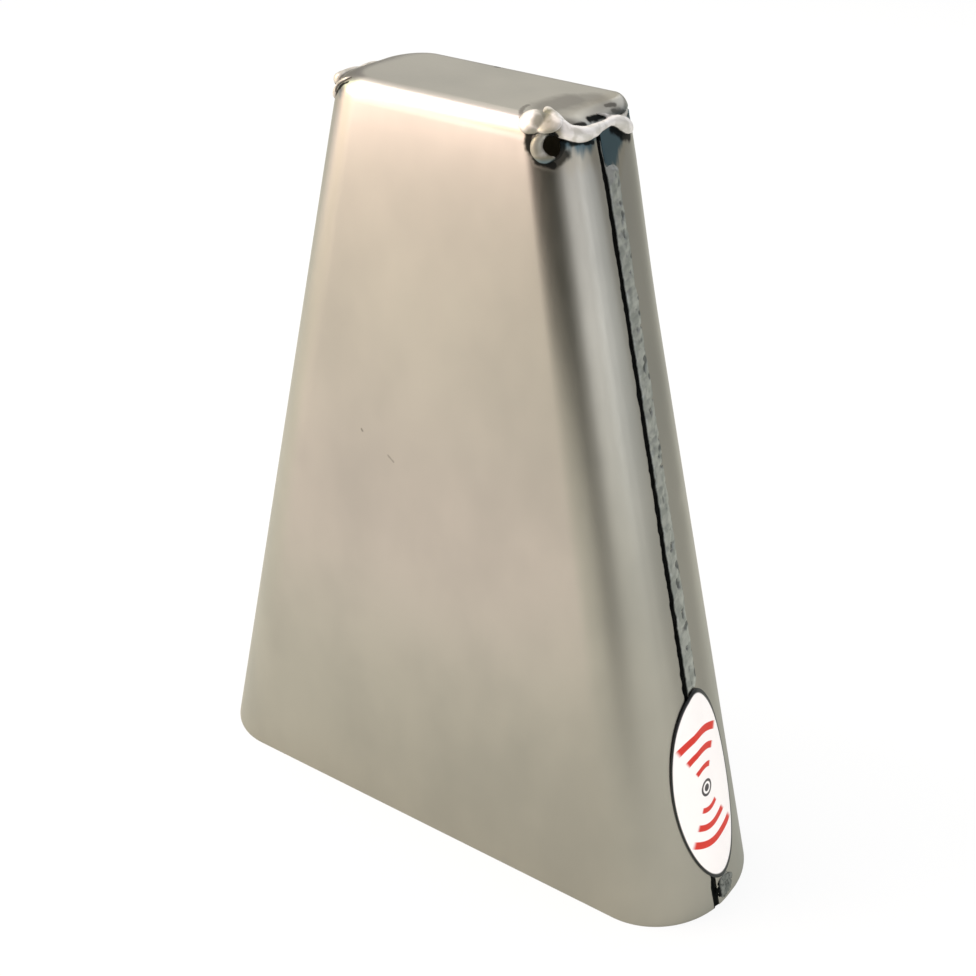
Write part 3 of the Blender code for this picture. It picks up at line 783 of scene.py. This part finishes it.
def sheet_steel(scene):
    """Satin sheet with a fine grain up the bell, heat tint by the welds, small marks of use, a dark ring
    round a relief hole, and painted shade along the crown crease, round the corner drops, under the beads
    and along the seam slot.
    """
    finish, sizes, colours = Finish("Satin sheet steel"), scene.cowbell_bell, scene.cowbell_finish
    x, y, z = finish.axes()
    height = sizes.height / MM
    grain = finish.cloud(finish.stretched((900.0, 900.0, 26.0)), 1.0, 3.0, 0.6)
    blotch = finish.cloud(finish.stretched((26.0, 26.0, 17.0)), 1.0, 3.0, 0.55)
    cloud = finish.cloud(finish.place, 70.0, 2.0, 0.5, 0.4)
    steel = finish.mix(blotch.step(0.30, 0.72), tuple(colours.steel), tuple(colours.steel_dark))
    below = (sizes.height - sizes.slit_drop) / MM - z
    hole = BellForm(scene).relief()[0]
    end = abs(x).step(hole.x / MM - 3.0, hole.x / MM + 2.0)
    streak = finish.cloud(finish.stretched((420.0, 420.0, 40.0)), 1.0, 2.0, 0.6)
    labelled = x.step(0.0, 1.0)
    strip = y.between(HEAT_STRIP) * labelled
    reach = (streak - 0.5) * HEAT_STREAKS + (cloud - 0.5) * HEAT_CLOUDS
    reach = reach + strip * HEAT_BY_SEAM + x.step(-1.0, 0.0) * HEAT_LABELLED + HEAT_REACH
    blue = below.step(reach + 1.6, reach - 1.6) * end * z.step(height - 1.0, height - 4.5)
    straw = below.step(reach + 6.0, reach + 2.0) * end
    steel = finish.mix(straw * 0.25, steel, tuple(colours.heat_straw))
    steel = finish.mix(blue * 0.94, steel, tuple(colours.heat_blue))
    # Marks and painted shade from the table, the dark ring round the hole and painted shade along the slot,
    # all mixed to black
    soot_and_shade = finish.stains_and_shade(SHEET_MARKS_AND_SHADE).most(hole_ring(finish, hole, cloud))
    soot_and_shade = soot_and_shade.most(painted_slot_shade(finish, sizes, y, z) * labelled * below.step(1.0, 3.0))
    steel = finish.mix(soot_and_shade, steel, tuple(colours.soot_and_shade))
    roughness = colours.roughness + (grain - 0.5) * 0.10 + (blotch - 0.5) * 0.06
    normal = finish.bump(grain, 0.10, 0.02 * MM)
    return finish.surface(Base_Color=steel, Metallic=1.0, Roughness=roughness + soot_and_shade * 0.4, Normal=normal)


def hole_ring(finish, hole, cloud):
    """A dark ring round the right front relief hole."""
    away = finish.vector("DISTANCE", finish.place, tuple(hole), output="Value") / MM + (cloud - 0.5) * 2.0
    return away.step(4.7, 3.6) * 0.9


def painted_slot_shade(finish, sizes, y, z):
    """Painted shade along the front edge of the labelled seam's slot, uneven and wider near the rim."""
    wave = (finish.cloud(finish.place, 280.0, 1.0) - 0.5) * 1.6 + z.step(12.0, 7.0) * 0.5
    slope = (sizes.seam_mouth - sizes.seam_crown) / sizes.height
    behind = y - z * slope + sizes.seam_mouth / MM + sizes.seam_gap / 2 / MM + 0.05
    return (behind + wave).step(-0.16, 0.10) * behind.step(0.6, 0.4)


def weld_steel(scene, name, bright, shade, roughness, mottle, metallic=1.0, stains_and_shade=()):
    """Weld metal: bright crests, grey oxide in the hollows, olive oxide and painted shade where given, and
    black from a point attribute: oxide in the pits and painted shade in the joints, at the toes and where
    the metal meets the sheet.
    """
    finish, colours = Finish(name), scene.cowbell_finish
    soot_and_shade = finish.attribute("soot_and_shade")
    fine = finish.cloud(finish.place, 1500.0, 3.0, 0.6)
    broad = finish.cloud(finish.place, 300.0, 2.0, 0.5, 0.6)
    metal = finish.mix(broad.step(0.62 - mottle, 0.62), tuple(shade), tuple(bright))
    if stains_and_shade:
        metal = finish.mix(finish.stains_and_shade(stains_and_shade), metal, tuple(colours.olive_and_shade))
    metal = finish.mix(finish.attribute("blue"), metal, tuple(colours.heat_blue))
    metal = finish.mix(soot_and_shade, metal, tuple(colours.soot_and_shade))
    rough_metal = roughness + (fine - 0.5) * 0.16 + soot_and_shade * 0.45
    normal = finish.bump(fine * 0.6 + broad, 0.20, 0.05 * MM)
    # The black of painted shade goes fully metallic, so that it shows almost no reflection
    metallic = soot_and_shade.most(metallic) if metallic < 1.0 else metallic
    return finish.surface(Base_Color=metal, Metallic=metallic, Roughness=rough_metal, Normal=normal)


def label_film(scene):
    """White film with a black line round it and a red ripple mark round a dark disc."""
    finish, sizes, colours = Finish("Printed label film"), scene.cowbell_label, scene.cowbell_finish
    flat = finish.node("ShaderNodeUVMap", {"uv_map": "print"})
    split = finish.tree.nodes.new("ShaderNodeSeparateXYZ")
    finish.tree.links.new(flat.socket, split.inputs[0])
    half_wide, half_long = sizes.wide / 2 / MM, sizes.long / 2 / MM
    across = (Wire(finish, split.outputs[0]) - 0.5) * (2 * half_wide)
    along = (Wire(finish, split.outputs[1]) - 0.5) * (2 * half_long)
    out = ((across / half_wide) ** 2.0 + (along / half_long) ** 2.0) ** 0.5
    white = finish.mix(out.step(0.945, 0.965), tuple(colours.film), tuple(colours.line))
    radius = (across ** 2.0 + along ** 2.0) ** 0.5
    strokes = [abs(radius - size).step(half_line + 0.12, half_line - 0.12)
               for size, half_line in RED_STROKES]
    spread = (abs(across) / abs(along).most(0.01)).step(0.62, 0.50)
    red = strokes[0].most(strokes[1]).most(strokes[2]) * spread
    white = finish.mix(red, white, tuple(colours.ink))
    white = finish.mix(radius.step(*DISC_EDGE), white, DISC_COLOUR)
    white = finish.mix(abs(radius - RING_RADIUS).step(*RING_EDGE), white, tuple(colours.film))
    dust = finish.cloud(finish.place, 900.0, 2.0)
    return finish.surface(Base_Color=white, Roughness=0.34 + (dust - 0.5) * 0.08, Coat_Weight=0.10,
                          Normal=finish.bump(dust, 0.05, 0.02 * MM))


# Pieces

class COWBELL_OT_shell(bpy.types.Operator):
    """Fold the sheet: a fine skin with its seam slots, crown slits and relief holes, given its wall"""
    bl_idname = "cowbell.shell"
    bl_label = "Fold the bell"

    def execute(self, context):
        form = BellForm(context.scene)
        sizes = form.sizes
        count, rows = sizes.columns, form.rows()
        around = 2 * count + 2
        work = bmesh.new()
        bmesh.ops.create_grid(work, x_segments=around, y_segments=len(rows) - 1, size=1.0)
        rings = []
        for z in rows:
            back = form.columns(z, 1, count)
            front = form.columns(z, -1, count)
            rings.append([Vector((*point, z)) for point in back + list(reversed(front)) + [back[0]]])
        for corner in work.verts:
            column = round((corner.co.x + 1) / 2 * around)
            row = round((corner.co.y + 1) / 2 * (len(rows) - 1))
            corner.co = rings[row][column]
        bmesh.ops.remove_doubles(work, verts=work.verts, dist=1e-6)
        top = [edge for edge in work.edges
               if edge.is_boundary and edge.verts[0].co.z > sizes.height - 0.1 * MM]
        bmesh.ops.contextual_create(work, geom=top)
        bmesh.ops.recalc_face_normals(work, faces=work.faces)
        self.open_joints(work, form)
        work = self.walled(work, sizes.sheet)
        shell = as_piece("bell_skin", work, sheet_steel(context.scene), ["bell_shell"])
        edge = shell.modifiers.new("Rolled edges", "BEVEL")
        edge.width = sizes.rolled_edge
        edge.segments = 2
        edge.limit_method = "ANGLE"
        edge.angle_limit = math.radians(50.0)
        return {"FINISHED"}

    def walled(self, work, thickness):
        """Give the skin its wall, and trim the inner edge of the rim level with the outer one."""
        def add_wall(sheet):
            wall = sheet.modifiers.new("Sheet", "SOLIDIFY")
            wall.thickness = thickness
            wall.offset = -1.0
            wall.use_even_offset = True

        work = with_modifier(work, add_wall)
        for corner in work.verts:
            corner.co.z = max(corner.co.z, 0.0)
        return work

    def open_joints(self, work, form):
        """Cut the seam slots, the crown slits and the relief holes out of the skin."""
        sizes = form.sizes
        holes = [form.relief(side, face) for side in (1, -1) for face in (1, -1)]
        roots = {side: abs(form.relief(side)[0].x) for side in (1, -1)}
        slit_low, slit_high = form.slit - sizes.slit_width / 2, form.slit + sizes.slit_width / 2

        def off_axis(point, hole):
            away = point - hole[0]
            return away - away.dot(hole[1]) * hole[1]

        gone = []
        for face in work.faces:
            middle = face.calc_center_median()
            in_slot = middle.z < form.slit and abs(middle.y - form.seam(middle.z)) < sizes.seam_gap / 2
            beyond = abs(middle.x) > roots[1 if middle.x > 0 else -1]
            in_slit = slit_low < middle.z < slit_high and beyond
            in_hole = any((middle - hole[0]).dot(hole[1]) > -3 * MM
                          and off_axis(middle, hole).length < sizes.relief_radius for hole in holes)
            if (in_slot and beyond) or in_slit or in_hole:
                gone.append(face)
        bmesh.ops.delete(work, geom=gone, context="FACES")
        rims = {corner for edge in work.edges if edge.is_boundary for corner in edge.verts}
        for corner in rims:
            for hole in holes:
                away = off_axis(corner.co, hole)
                near = (corner.co - hole[0]).dot(hole[1]) > -3 * MM
                if near and away.length < sizes.relief_radius + 0.35 * MM:
                    corner.co += away.normalized() * (sizes.relief_radius - away.length)
                    corner.co = form.seated(corner.co, hole[1])


class COWBELL_OT_seam_welds(bpy.types.Operator):
    """Lay the rippled beads down both seams, with their roots in the slots"""
    bl_idname = "cowbell.seam_welds"
    bl_label = "Lay the seam welds"

    def execute(self, context):
        colours = context.scene.cowbell_finish
        metal = weld_steel(context.scene, "Seam weld metal", colours.bead, colours.bead_shade,
                           colours.bead_roughness, 0.22)
        for side, name in ((1, "right"), (-1, "left")):
            self.lay(context.scene, side, name, metal)
        return {"FINISHED"}

    def lay(self, scene, side, name, metal):
        form, welds, label = BellForm(scene), scene.cowbell_welds, scene.cowbell_label
        low, high = WELD_FOOT * MM, form.slit - WELD_BELOW_SLIT * MM
        bead_low = label.rise + label.long / 2 - BEAD_UNDER_LABEL * MM
        bead_high = high - BEAD_BELOW_TOP * MM
        bead_full = bead_low + RUN_OUT_FOOT[side] * MM, bead_high - RUN_OUT_TOP * MM
        steps = round((high - low) / (ROW_SPACING * MM))
        outline = self.outline()
        work = bmesh.new()
        bmesh.ops.create_grid(work, x_segments=len(outline), y_segments=steps, size=1.0)
        soot_and_shade = work.verts.layers.float.new("soot_and_shade")
        for corner in work.verts:
            place = round((corner.co.x + 1) / 2 * len(outline)) % len(outline)
            z = low + (high - low) * (corner.co.y + 1) / 2
            across, rise, dark = outline[place]
            proud = smoothstep(bead_low, bead_full[0], z) * smoothstep(bead_high, bead_full[1], z)
            across, rise, dark = self.shaped(across, rise, dark, z, proud, side, welds)
            y = form.seam(z) + across * MM
            point = form.skin(y, z) + form.normal(y, z) * rise * MM
            corner.co = Vector((side * point.x, point.y, max(point.z, 0.05 * MM)))
            corner[soot_and_shade] = dark
        bmesh.ops.remove_doubles(work, verts=work.verts, dist=1e-7)
        ends = [edge for edge in work.edges if edge.is_boundary]
        bmesh.ops.holes_fill(work, edges=ends, sides=0)
        bmesh.ops.recalc_face_normals(work, faces=work.faces)
        as_piece(name + "_seam_bead", work, metal, [name + "_seam_weld"])

    def outline(self):
        """Across, rise and darkness of the cross-section, from the slot's middle and the skin; the darkness
        of the shelf and the root is painted shade in the slot.
        """
        top = []
        for step in range(BEAD_COLUMNS + 1):
            part = step / BEAD_COLUMNS
            top.append((BEAD_TOE + (BEAD_FAR - BEAD_TOE) * part, 4 * part * (1 - part), 0.0))
        return [*SHELF, *top, *ROOT]

    def shaped(self, across, rise, dark, z, proud, side, welds):
        """Ripples, pits and wavy toes of the bead at height z."""
        height = z / MM
        seed = 3.1 if side > 0 else 8.4
        near_rim = smoothstep(11.0, 8.0, height)

        def wave(line, lumps):
            return rough((height, line, seed), lumps)

        if rise < 0.0:
            if across < BEAD_TOE and rise > SHELF_FLOOR:
                rise *= 1.0 - 0.75 * smoothstep(9.0, 3.0, height)
                across += 0.6 * near_rim if across > 0.5 else 0.0
            return across, rise + 0.10 * wave(across, 1.2), dark

        part = (across - BEAD_TOE) / (BEAD_FAR - BEAD_TOE)
        left = 0.30 + 0.42 * wave(0, 3.2) + 0.16 * wave(5, 1.0) + 0.8 * near_rim
        right = welds.seam_width / MM + 0.55 * wave(9, 3.6) + 0.25 * wave(3, 1.3)
        across = left + (right - left) * part
        bow = 0.9 * (2 * part - 1) ** 2
        tooth = (height + bow + 0.9 * wave(1, 5.0)) / (welds.ripple / MM) % 1.0
        ripple = math.sin(math.pi * tooth) ** 0.7 - 0.55
        lump = wave(across, 2.1)
        dome = rise ** 0.55 * (welds.seam_height / MM) * (0.82 + 0.30 * wave(7, 4.5))
        pit = smoothstep(0.16, 0.50, rough((height, across, seed + 4), 2.0)) * smoothstep(0.25, 0.6, part)
        crest = dome + rise ** 0.4 * (0.09 * ripple + 0.20 * lump - 0.26 * pit)
        sunk = 0.08 * lump - 0.12
        # Painted shade at the toes: black along the slot side and grey along the far edge; the pits get dark
        # oxide
        black_toe = 1.0 - smoothstep(0.02, 0.09, part)
        grey_toe = smoothstep(0.88, 1.0, part) * (0.30 + 0.25 * wave(4, 3.0)) * proud
        dark = max(dark, 0.55 * pit) * proud
        return across, crest * proud + sunk * (1 - proud), max(dark, black_toe, grey_toe)


class COWBELL_OT_crown_welds(bpy.types.Operator):
    """Lay the wavy beads along both ends of the crown and the drops on its corners"""
    bl_idname = "cowbell.crown_welds"
    bl_label = "Lay the crown welds"

    def execute(self, context):
        colours = context.scene.cowbell_finish
        metal = weld_steel(context.scene, "Crown weld metal", colours.drop, colours.drop_shade,
                           colours.drop_roughness, 0.30, colours.drop_metal, DROP_OXIDE_AND_SHADE)
        for side, name in ((1, "right"), (-1, "left")):
            self.bead(context.scene, side, name, metal)
            self.corner_drops(context.scene, side, name, metal)
        return {"FINISHED"}

    def chain(self, work, scene, stations, side, sway=0.0):
        """A row of drops along a smooth line of stations, which may sway off their places."""
        top, scale = scene.cowbell_bell.height, scene.cowbell_welds.crown_scale
        placed = []
        for x, y, over, radius in stations:
            y += sway * rough((y, 4.0, over), 3.0)
            over += sway * rough((y, over, 7.0), 3.0)
            placed.append((side * x * MM, y * MM, top + over * MM, radius * scale * MM))
        for x, y, z, radius in smooth_line(placed, 0.4 * MM):
            wobble = 1.0 + 0.05 * rough((x / MM, y / MM, z / MM), 2.0)
            add_drop(work, Vector((x, y, z)), radius * wobble)

    def bead(self, scene, side, name, metal):
        """The wavy bead over the crown slit, with a thin ridge that runs up on the end of the crown."""
        work = bmesh.new()
        sway = 0.0 if side > 0 else 0.4
        self.chain(work, scene, CROWN_BEAD if side > 0 else CROWN_BEAD[LEFT_BEAD_STATIONS], side, sway)
        self.chain(work, scene, CROWN_RIDGE if side > 0 else CROWN_RIDGE[LEFT_RIDGE_STATIONS], side, sway)
        work = joined_by_voxels(work, scene.cowbell_welds.voxel, 5)
        self.tarnish_and_shade(work)
        as_piece(name + "_crown_bead", work, metal, [name + "_crown_weld"])

    def corner_drops(self, scene, side, name, metal):
        """The drops that close the corners of the crown, and the lip of the relief hole."""
        for face, face_name in ((-1, "front"), (1, "back")):
            work = bmesh.new()
            if face > 0:
                self.back_drop(work, scene, side)
            elif side > 0:
                self.flat_drops(work, scene)
                self.lip(work, scene)
            else:
                self.chain(work, scene, LEFT_CURL, side)
            work = joined_by_voxels(work, scene.cowbell_welds.voxel, 5)
            self.tarnish_and_shade(work)
            node = name + "_" + face_name + "_corner_tack"
            as_piece(name + "_" + face_name + "_corner_drop", work, metal, [node])

    def flat_drops(self, work, scene):
        """Two flattened drops that lie on the fold at the right front corner."""
        form = BellForm(scene)
        for x, y, half_long, half_wide, rise in FLAT_DROPS:
            z = form.fold_height(y * MM)
            outward = form.fold_normal(z)
            along = Vector((1.0, 0.0, 0.0))
            sideways = outward.cross(along)
            axes = Matrix((along * half_long, sideways * half_wide, outward * rise)).transposed()
            add_drop(work, Vector((x * MM, y * MM, z)), MM, axes)

    def back_drop(self, work, scene, side):
        """Two low drops above the relief hole of a back corner."""
        form = BellForm(scene)
        centre, outward = form.relief(side, 1)
        for over, radius in ((0.8, 1.0), (1.8, 0.7)):
            place = form.seated(centre + Vector((0.0, 0.0, over * MM)), outward)
            add_drop(work, place - outward * 0.3 * MM, radius * MM)

    def lip(self, work, scene):
        """The raised lip round the right front relief hole."""
        form = BellForm(scene)
        centre, outward = form.relief()
        across = Vector((0.0, 0.0, 1.0)).cross(outward)
        stations = []
        for degrees, radius in HOLE_LIP:
            turn = math.radians(degrees)
            place = centre + (across * math.cos(turn) + Vector((0.0, 0.0, math.sin(turn)))) * LIP_REACH * MM
            place = form.seated(place, outward) - outward * LIP_SUNK * MM
            stations.append((*place, radius * MM))
        for x, y, z, radius in smooth_line(stations, 0.4 * MM):
            add_drop(work, Vector((x, y, z)), radius)

    def tarnish_and_shade(self, work):
        """Soft lumps on the metal, heat blue low on the front, and painted shade where it meets the sheet,
        stronger on its undersides.
        """
        soot_and_shade = work.verts.layers.float.new("soot_and_shade")
        blue = work.verts.layers.float.new("blue")
        skin = bpy.data.objects["bell_skin"]
        top = bpy.context.scene.cowbell_bell.height / MM
        sheet = BVHTree.FromPolygons([corner.co for corner in skin.data.vertices],
                                     [face.vertices for face in skin.data.polygons])
        work.normal_update()
        for corner in work.verts:
            place = corner.co / MM
            corner.co += corner.normal * (0.06 * rough(place, 2.4) + 0.02 * rough(place, 0.8)) * MM
            near = sheet.find_nearest(corner.co, 3 * MM)
            over = (corner.co - near[0]).length / MM if near[0] else 3.0
            # Painted shade: darker close to the sheet and on faces that look down
            under = smoothstep(0.30, -0.60, corner.normal.z)
            reach = 0.30 + 0.35 * under + 0.15 * rough(place, 1.1)
            corner[soot_and_shade] = smoothstep(reach + 0.22, reach - 0.10, over) * (0.55 + 0.40 * under)
            corner[blue] = smoothstep(-8.2, -9.6, place.z - top) * 0.75 if place.y < -12.0 else 0.0


class COWBELL_OT_mouth_tacks(bpy.types.Operator):
    """Set the rough tacks over the seams just above the rim"""
    bl_idname = "cowbell.mouth_tacks"
    bl_label = "Set the mouth tacks"

    def execute(self, context):
        colours = context.scene.cowbell_finish
        metal = weld_steel(context.scene, "Tack metal", colours.bead, colours.bead_shade,
                           colours.bead_roughness, 0.20)
        for side, name in ((1, "right"), (-1, "left")):
            self.tack(context.scene, side, name, metal)
        return {"FINISHED"}

    def tack(self, scene, side, name, metal):
        form, welds = BellForm(scene), scene.cowbell_welds
        work = bmesh.new()
        bmesh.ops.create_icosphere(work, subdivisions=6, radius=1.0)
        soot_and_shade = work.verts.layers.float.new("soot_and_shade")
        seam = form.seam(welds.tack_rise) / MM
        for corner in work.verts:
            ball = corner.co.copy()
            across = ball.x * welds.tack_width / MM / 2 * (1 + 0.34 * rough(ball, 0.55, 2.0))
            along = ball.y * TACK_HALF_HEIGHT * (1 + 0.30 * rough(ball, 0.6, 5.0))
            y = (seam + TACK_OFFSET + across) * MM
            z = welds.tack_rise + along * MM
            lumps = 0.20 * rough((across, along, side), 1.1) + 0.12 * rough((across, along, side), 0.45)
            rise = ball.z * TACK_OUT + lumps if ball.z > 0 else ball.z * TACK_IN
            point = form.skin(y, max(z, 0.5 * MM)) + form.normal(y, max(z, 1.5 * MM)) * rise * MM
            x = min(point.x, cad_high[0] - 0.02 * MM)
            corner.co = Vector((side * x, point.y, max(point.z, 0.4 * MM)))
            # Darker in the hollows between the lumps and nearly black on the side towards the slot
            dark = 0.34 + smoothstep(0.08, -0.25, lumps) * 0.60
            corner[soot_and_shade] = min(1.0, dark + 0.8 * smoothstep(0.35, 0.80, -ball.x))
        as_piece(name + "_mouth_drop", work, metal, [name + "_mouth_tack"])


class COWBELL_OT_label(bpy.types.Operator):
    """Stick the printed oval label round the lower end of the labelled side"""
    bl_idname = "cowbell.label"
    bl_label = "Stick the label"

    def execute(self, context):
        form, sizes = BellForm(context.scene), context.scene.cowbell_label
        segments, rings = 128, 20
        work = bmesh.new()
        bmesh.ops.create_circle(work, cap_ends=True, segments=segments, radius=1.0)
        for _ in range(rings - 1):
            middle = [face for face in work.faces if len(face.verts) == segments]
            bmesh.ops.inset_individual(work, faces=middle, thickness=1.0 / rings)
        flat = work.loops.layers.uv.new("print")
        for face in work.faces:
            for loop in face.loops:
                loop[flat].uv = ((loop.vert.co.x + 1) / 2, (loop.vert.co.y + 1) / 2)
        bell = form.sizes
        lean = math.atan((bell.mouth_width - bell.crown_width) / 2 / bell.height)
        for corner in work.verts:
            z = sizes.rise + corner.co.y * sizes.long / 2 * math.cos(lean)
            middle = corner.co.y * sizes.slant + corner.co.y ** 2 * sizes.bow - sizes.shift
            y = self.walk(form, middle, z, corner.co.x * sizes.wide / 2)
            corner.co = form.skin(y, z) + form.normal(y, z) * sizes.lift
        bmesh.ops.recalc_face_normals(work, faces=work.faces)
        label = as_piece("oval_label", work, label_film(context.scene), ["label"])
        film = label.modifiers.new("Film", "SOLIDIFY")
        film.thickness = sizes.film
        film.offset = 1.0
        film.use_even_offset = True
        return {"FINISHED"}

    def walk(self, form, start, z, distance):
        """Depth of the point that lies this far round the +X side from a start."""
        y, steps, small = start, 24, 0.1 * MM
        for _ in range(steps):
            ahead = form.skin(y + small, z) - form.skin(y - small, z)
            slope = ahead.x / ahead.y
            y += distance / steps / math.sqrt(1.0 + slope * slope)
        return y


class COWBELL_OT_stage(bpy.types.Operator):
    """Lay the floor, hang the lights and set the camera"""
    bl_idname = "cowbell.stage"
    bl_label = "Set the stage"

    def execute(self, context):
        scene, stage = context.scene, context.scene.cowbell_stage
        scene.view_settings.view_transform = "Standard"
        self.floor(scene, stage)
        self.world(scene, stage)
        for name, power, tint, place, target, size in LAMPS:
            self.light(scene, name, power * stage.lamps, tint, place, target, size)
        if stage.flag:
            self.flag(scene)
        self.camera(scene, stage)
        return {"FINISHED"}

    def flat_sheet(self, scene, name, size, stand=Matrix.Identity(4)):
        """A square sheet, stretched and turned."""
        work = bmesh.new()
        bmesh.ops.create_grid(work, x_segments=1, y_segments=1, size=size)
        bmesh.ops.transform(work, matrix=stand, verts=work.verts)
        mesh = bpy.data.meshes.new(name)
        work.to_mesh(mesh)
        work.free()
        sheet = bpy.data.objects.new(name, mesh)
        scene.collection.objects.link(sheet)
        return sheet

    def floor(self, scene, stage):
        """Pale paper, with lighter and darker parts that only the steel sees."""
        floor = self.flat_sheet(scene, "floor", 4.0)
        finish = Finish("Pale paper")
        seen, mirrored = finish.rays()
        x, y, _ = finish.axes()
        patch = x.between(PATCH_X) * y.between(PATCH_Y)
        before = BEND_FOOT[1] - y
        turned = (x - BEND_FOOT[0]) / before.most(1.0)
        dark = turned.between(DARK_WEDGE) * before.step(*DARK_FAR) * stage.floor_dark
        dark = dark.most(y.step(*SIDE_Y) * x.step(*SIDE_X) * stage.floor_side)
        bright = turned.step(*BRIGHT_WEDGE) * x.step(*BRIGHT_X) * y.step(*BRIGHT_Y) * stage.floor_bright
        glow = finish.mix(patch, tuple(stage.glow_tint), tuple(stage.patch_tint))
        shaded = finish.mix(dark, tuple(stage.floor_mirror), (0.0, 0.0, 0.0))
        paper = finish.mix(mirrored, tuple(stage.floor), shaded)
        paper = finish.node("ShaderNodeBsdfDiffuse", {}, Color=paper)
        glow = finish.mix(mirrored, (1.0, 1.0, 1.0), glow)
        white = finish.node("ShaderNodeEmission", {}, Color=glow, Strength=1.0)
        lit = (patch * stage.floor_patch + stage.floor_glow) * (1.0 - dark) + bright
        share_of_white = seen * stage.floor_white + mirrored * lit
        mixed = finish.node("ShaderNodeMixShader", {}, share_of_white, paper, white)
        finish.tree.links.new(mixed.socket, finish.tree.nodes["Material Output"].inputs["Surface"])
        floor.data.materials.append(finish.material)

    def world(self, scene, stage):
        """Even light, white behind the bell and dimmer in the steel."""
        room = Finish("Pale studio", bpy.data.worlds)
        scene.world = room.material
        seen, mirrored = room.rays()
        level = stage.world_level + seen * (1.0 - stage.world_level)
        level = level + mirrored * (stage.mirror_level - stage.world_level)
        room.surface(Color=(1.0, 1.0, 1.0), Strength=level)

    def light(self, scene, name, power, tint, place, target, size):
        """A soft square lamp that looks at a point."""
        lamp = bpy.data.lights.new(name, "AREA")
        lamp.shape = "SQUARE"
        lamp.size = size
        lamp.energy = power
        lamp.color = tuple(tint)
        hung = bpy.data.objects.new(name, lamp)
        scene.collection.objects.link(hung)
        hung.location = place
        hung.rotation_euler = (Vector(place) - Vector(target)).to_track_quat("Z", "Y").to_euler()
        hung.visible_camera = False

    def flag(self, scene):
        """A dark card that only the steel sees."""
        stand = (Matrix.Translation(CARD_PLACE) @ Matrix.Rotation(CARD_TURN, 4, "Z")
                 @ Matrix.Rotation(math.radians(90.0), 4, "X") @ Matrix.Diagonal(CARD_SIZE))
        card = self.flat_sheet(scene, "dark_card", 0.5, stand)
        finish = Finish("Dark card")
        card.data.materials.append(finish.surface(Base_Color=(0.010, 0.012, 0.008), Roughness=0.9))
        card.visible_camera = False
        card.visible_shadow = False
        card.visible_diffuse = False

    def camera(self, scene, stage):
        lens = bpy.data.cameras.new("Camera")
        lens.lens = stage.lens
        lens.sensor_width = 36.0
        lens.shift_x, lens.shift_y = SHIFT_ACROSS / PICTURE, SHIFT_UP / PICTURE
        camera = bpy.data.objects.new("Camera", lens)
        scene.collection.objects.link(camera)
        target = Vector((0.0, 0.0, scene.cowbell_bell.height / 2))
        level_part = math.cos(stage.rise)
        back = Vector((math.sin(stage.turn) * level_part, -math.cos(stage.turn) * level_part,
                       math.sin(stage.rise)))
        camera.location = target + back * stage.distance
        camera.rotation_euler = back.to_track_quat("Z", "Y").to_euler()
        scene.camera = camera


class COWBELL_PT_panel(bpy.types.Panel):
    """Lists the sizes, the colours and the operators"""
    bl_label = "Handheld Cowbell"
    bl_idname = "COWBELL_PT_panel"
    bl_space_type = "VIEW_3D"
    bl_region_type = "UI"
    bl_category = "Cowbell"

    def draw(self, context):
        for operator in OPERATORS:
            self.layout.operator(operator.bl_idname)
        for name, group in GROUPS:
            box = self.layout.box()
            box.label(text=group.__doc__)
            for key in group.__annotations__:
                box.prop(getattr(context.scene, name), key)


OPERATORS = (COWBELL_OT_shell, COWBELL_OT_seam_welds, COWBELL_OT_crown_welds, COWBELL_OT_mouth_tacks,
             COWBELL_OT_label, COWBELL_OT_stage)


def register():
    for name, group in GROUPS:
        bpy.utils.register_class(group)
        setattr(bpy.types.Scene, name, PointerProperty(type=group))
    for operator in OPERATORS:
        bpy.utils.register_class(operator)
    bpy.utils.register_class(COWBELL_PT_panel)


def unregister():
    bpy.utils.unregister_class(COWBELL_PT_panel)
    for operator in reversed(OPERATORS):
        bpy.utils.unregister_class(operator)
    for name, group in reversed(GROUPS):
        delattr(bpy.types.Scene, name)
        bpy.utils.unregister_class(group)


def main():
    register()
    bpy.ops.cowbell.shell()
    bpy.ops.cowbell.seam_welds()
    bpy.ops.cowbell.crown_welds()
    bpy.ops.cowbell.mouth_tacks()
    bpy.ops.cowbell.label()
    bpy.ops.cowbell.stage()


if __name__ == "__main__":
    main()
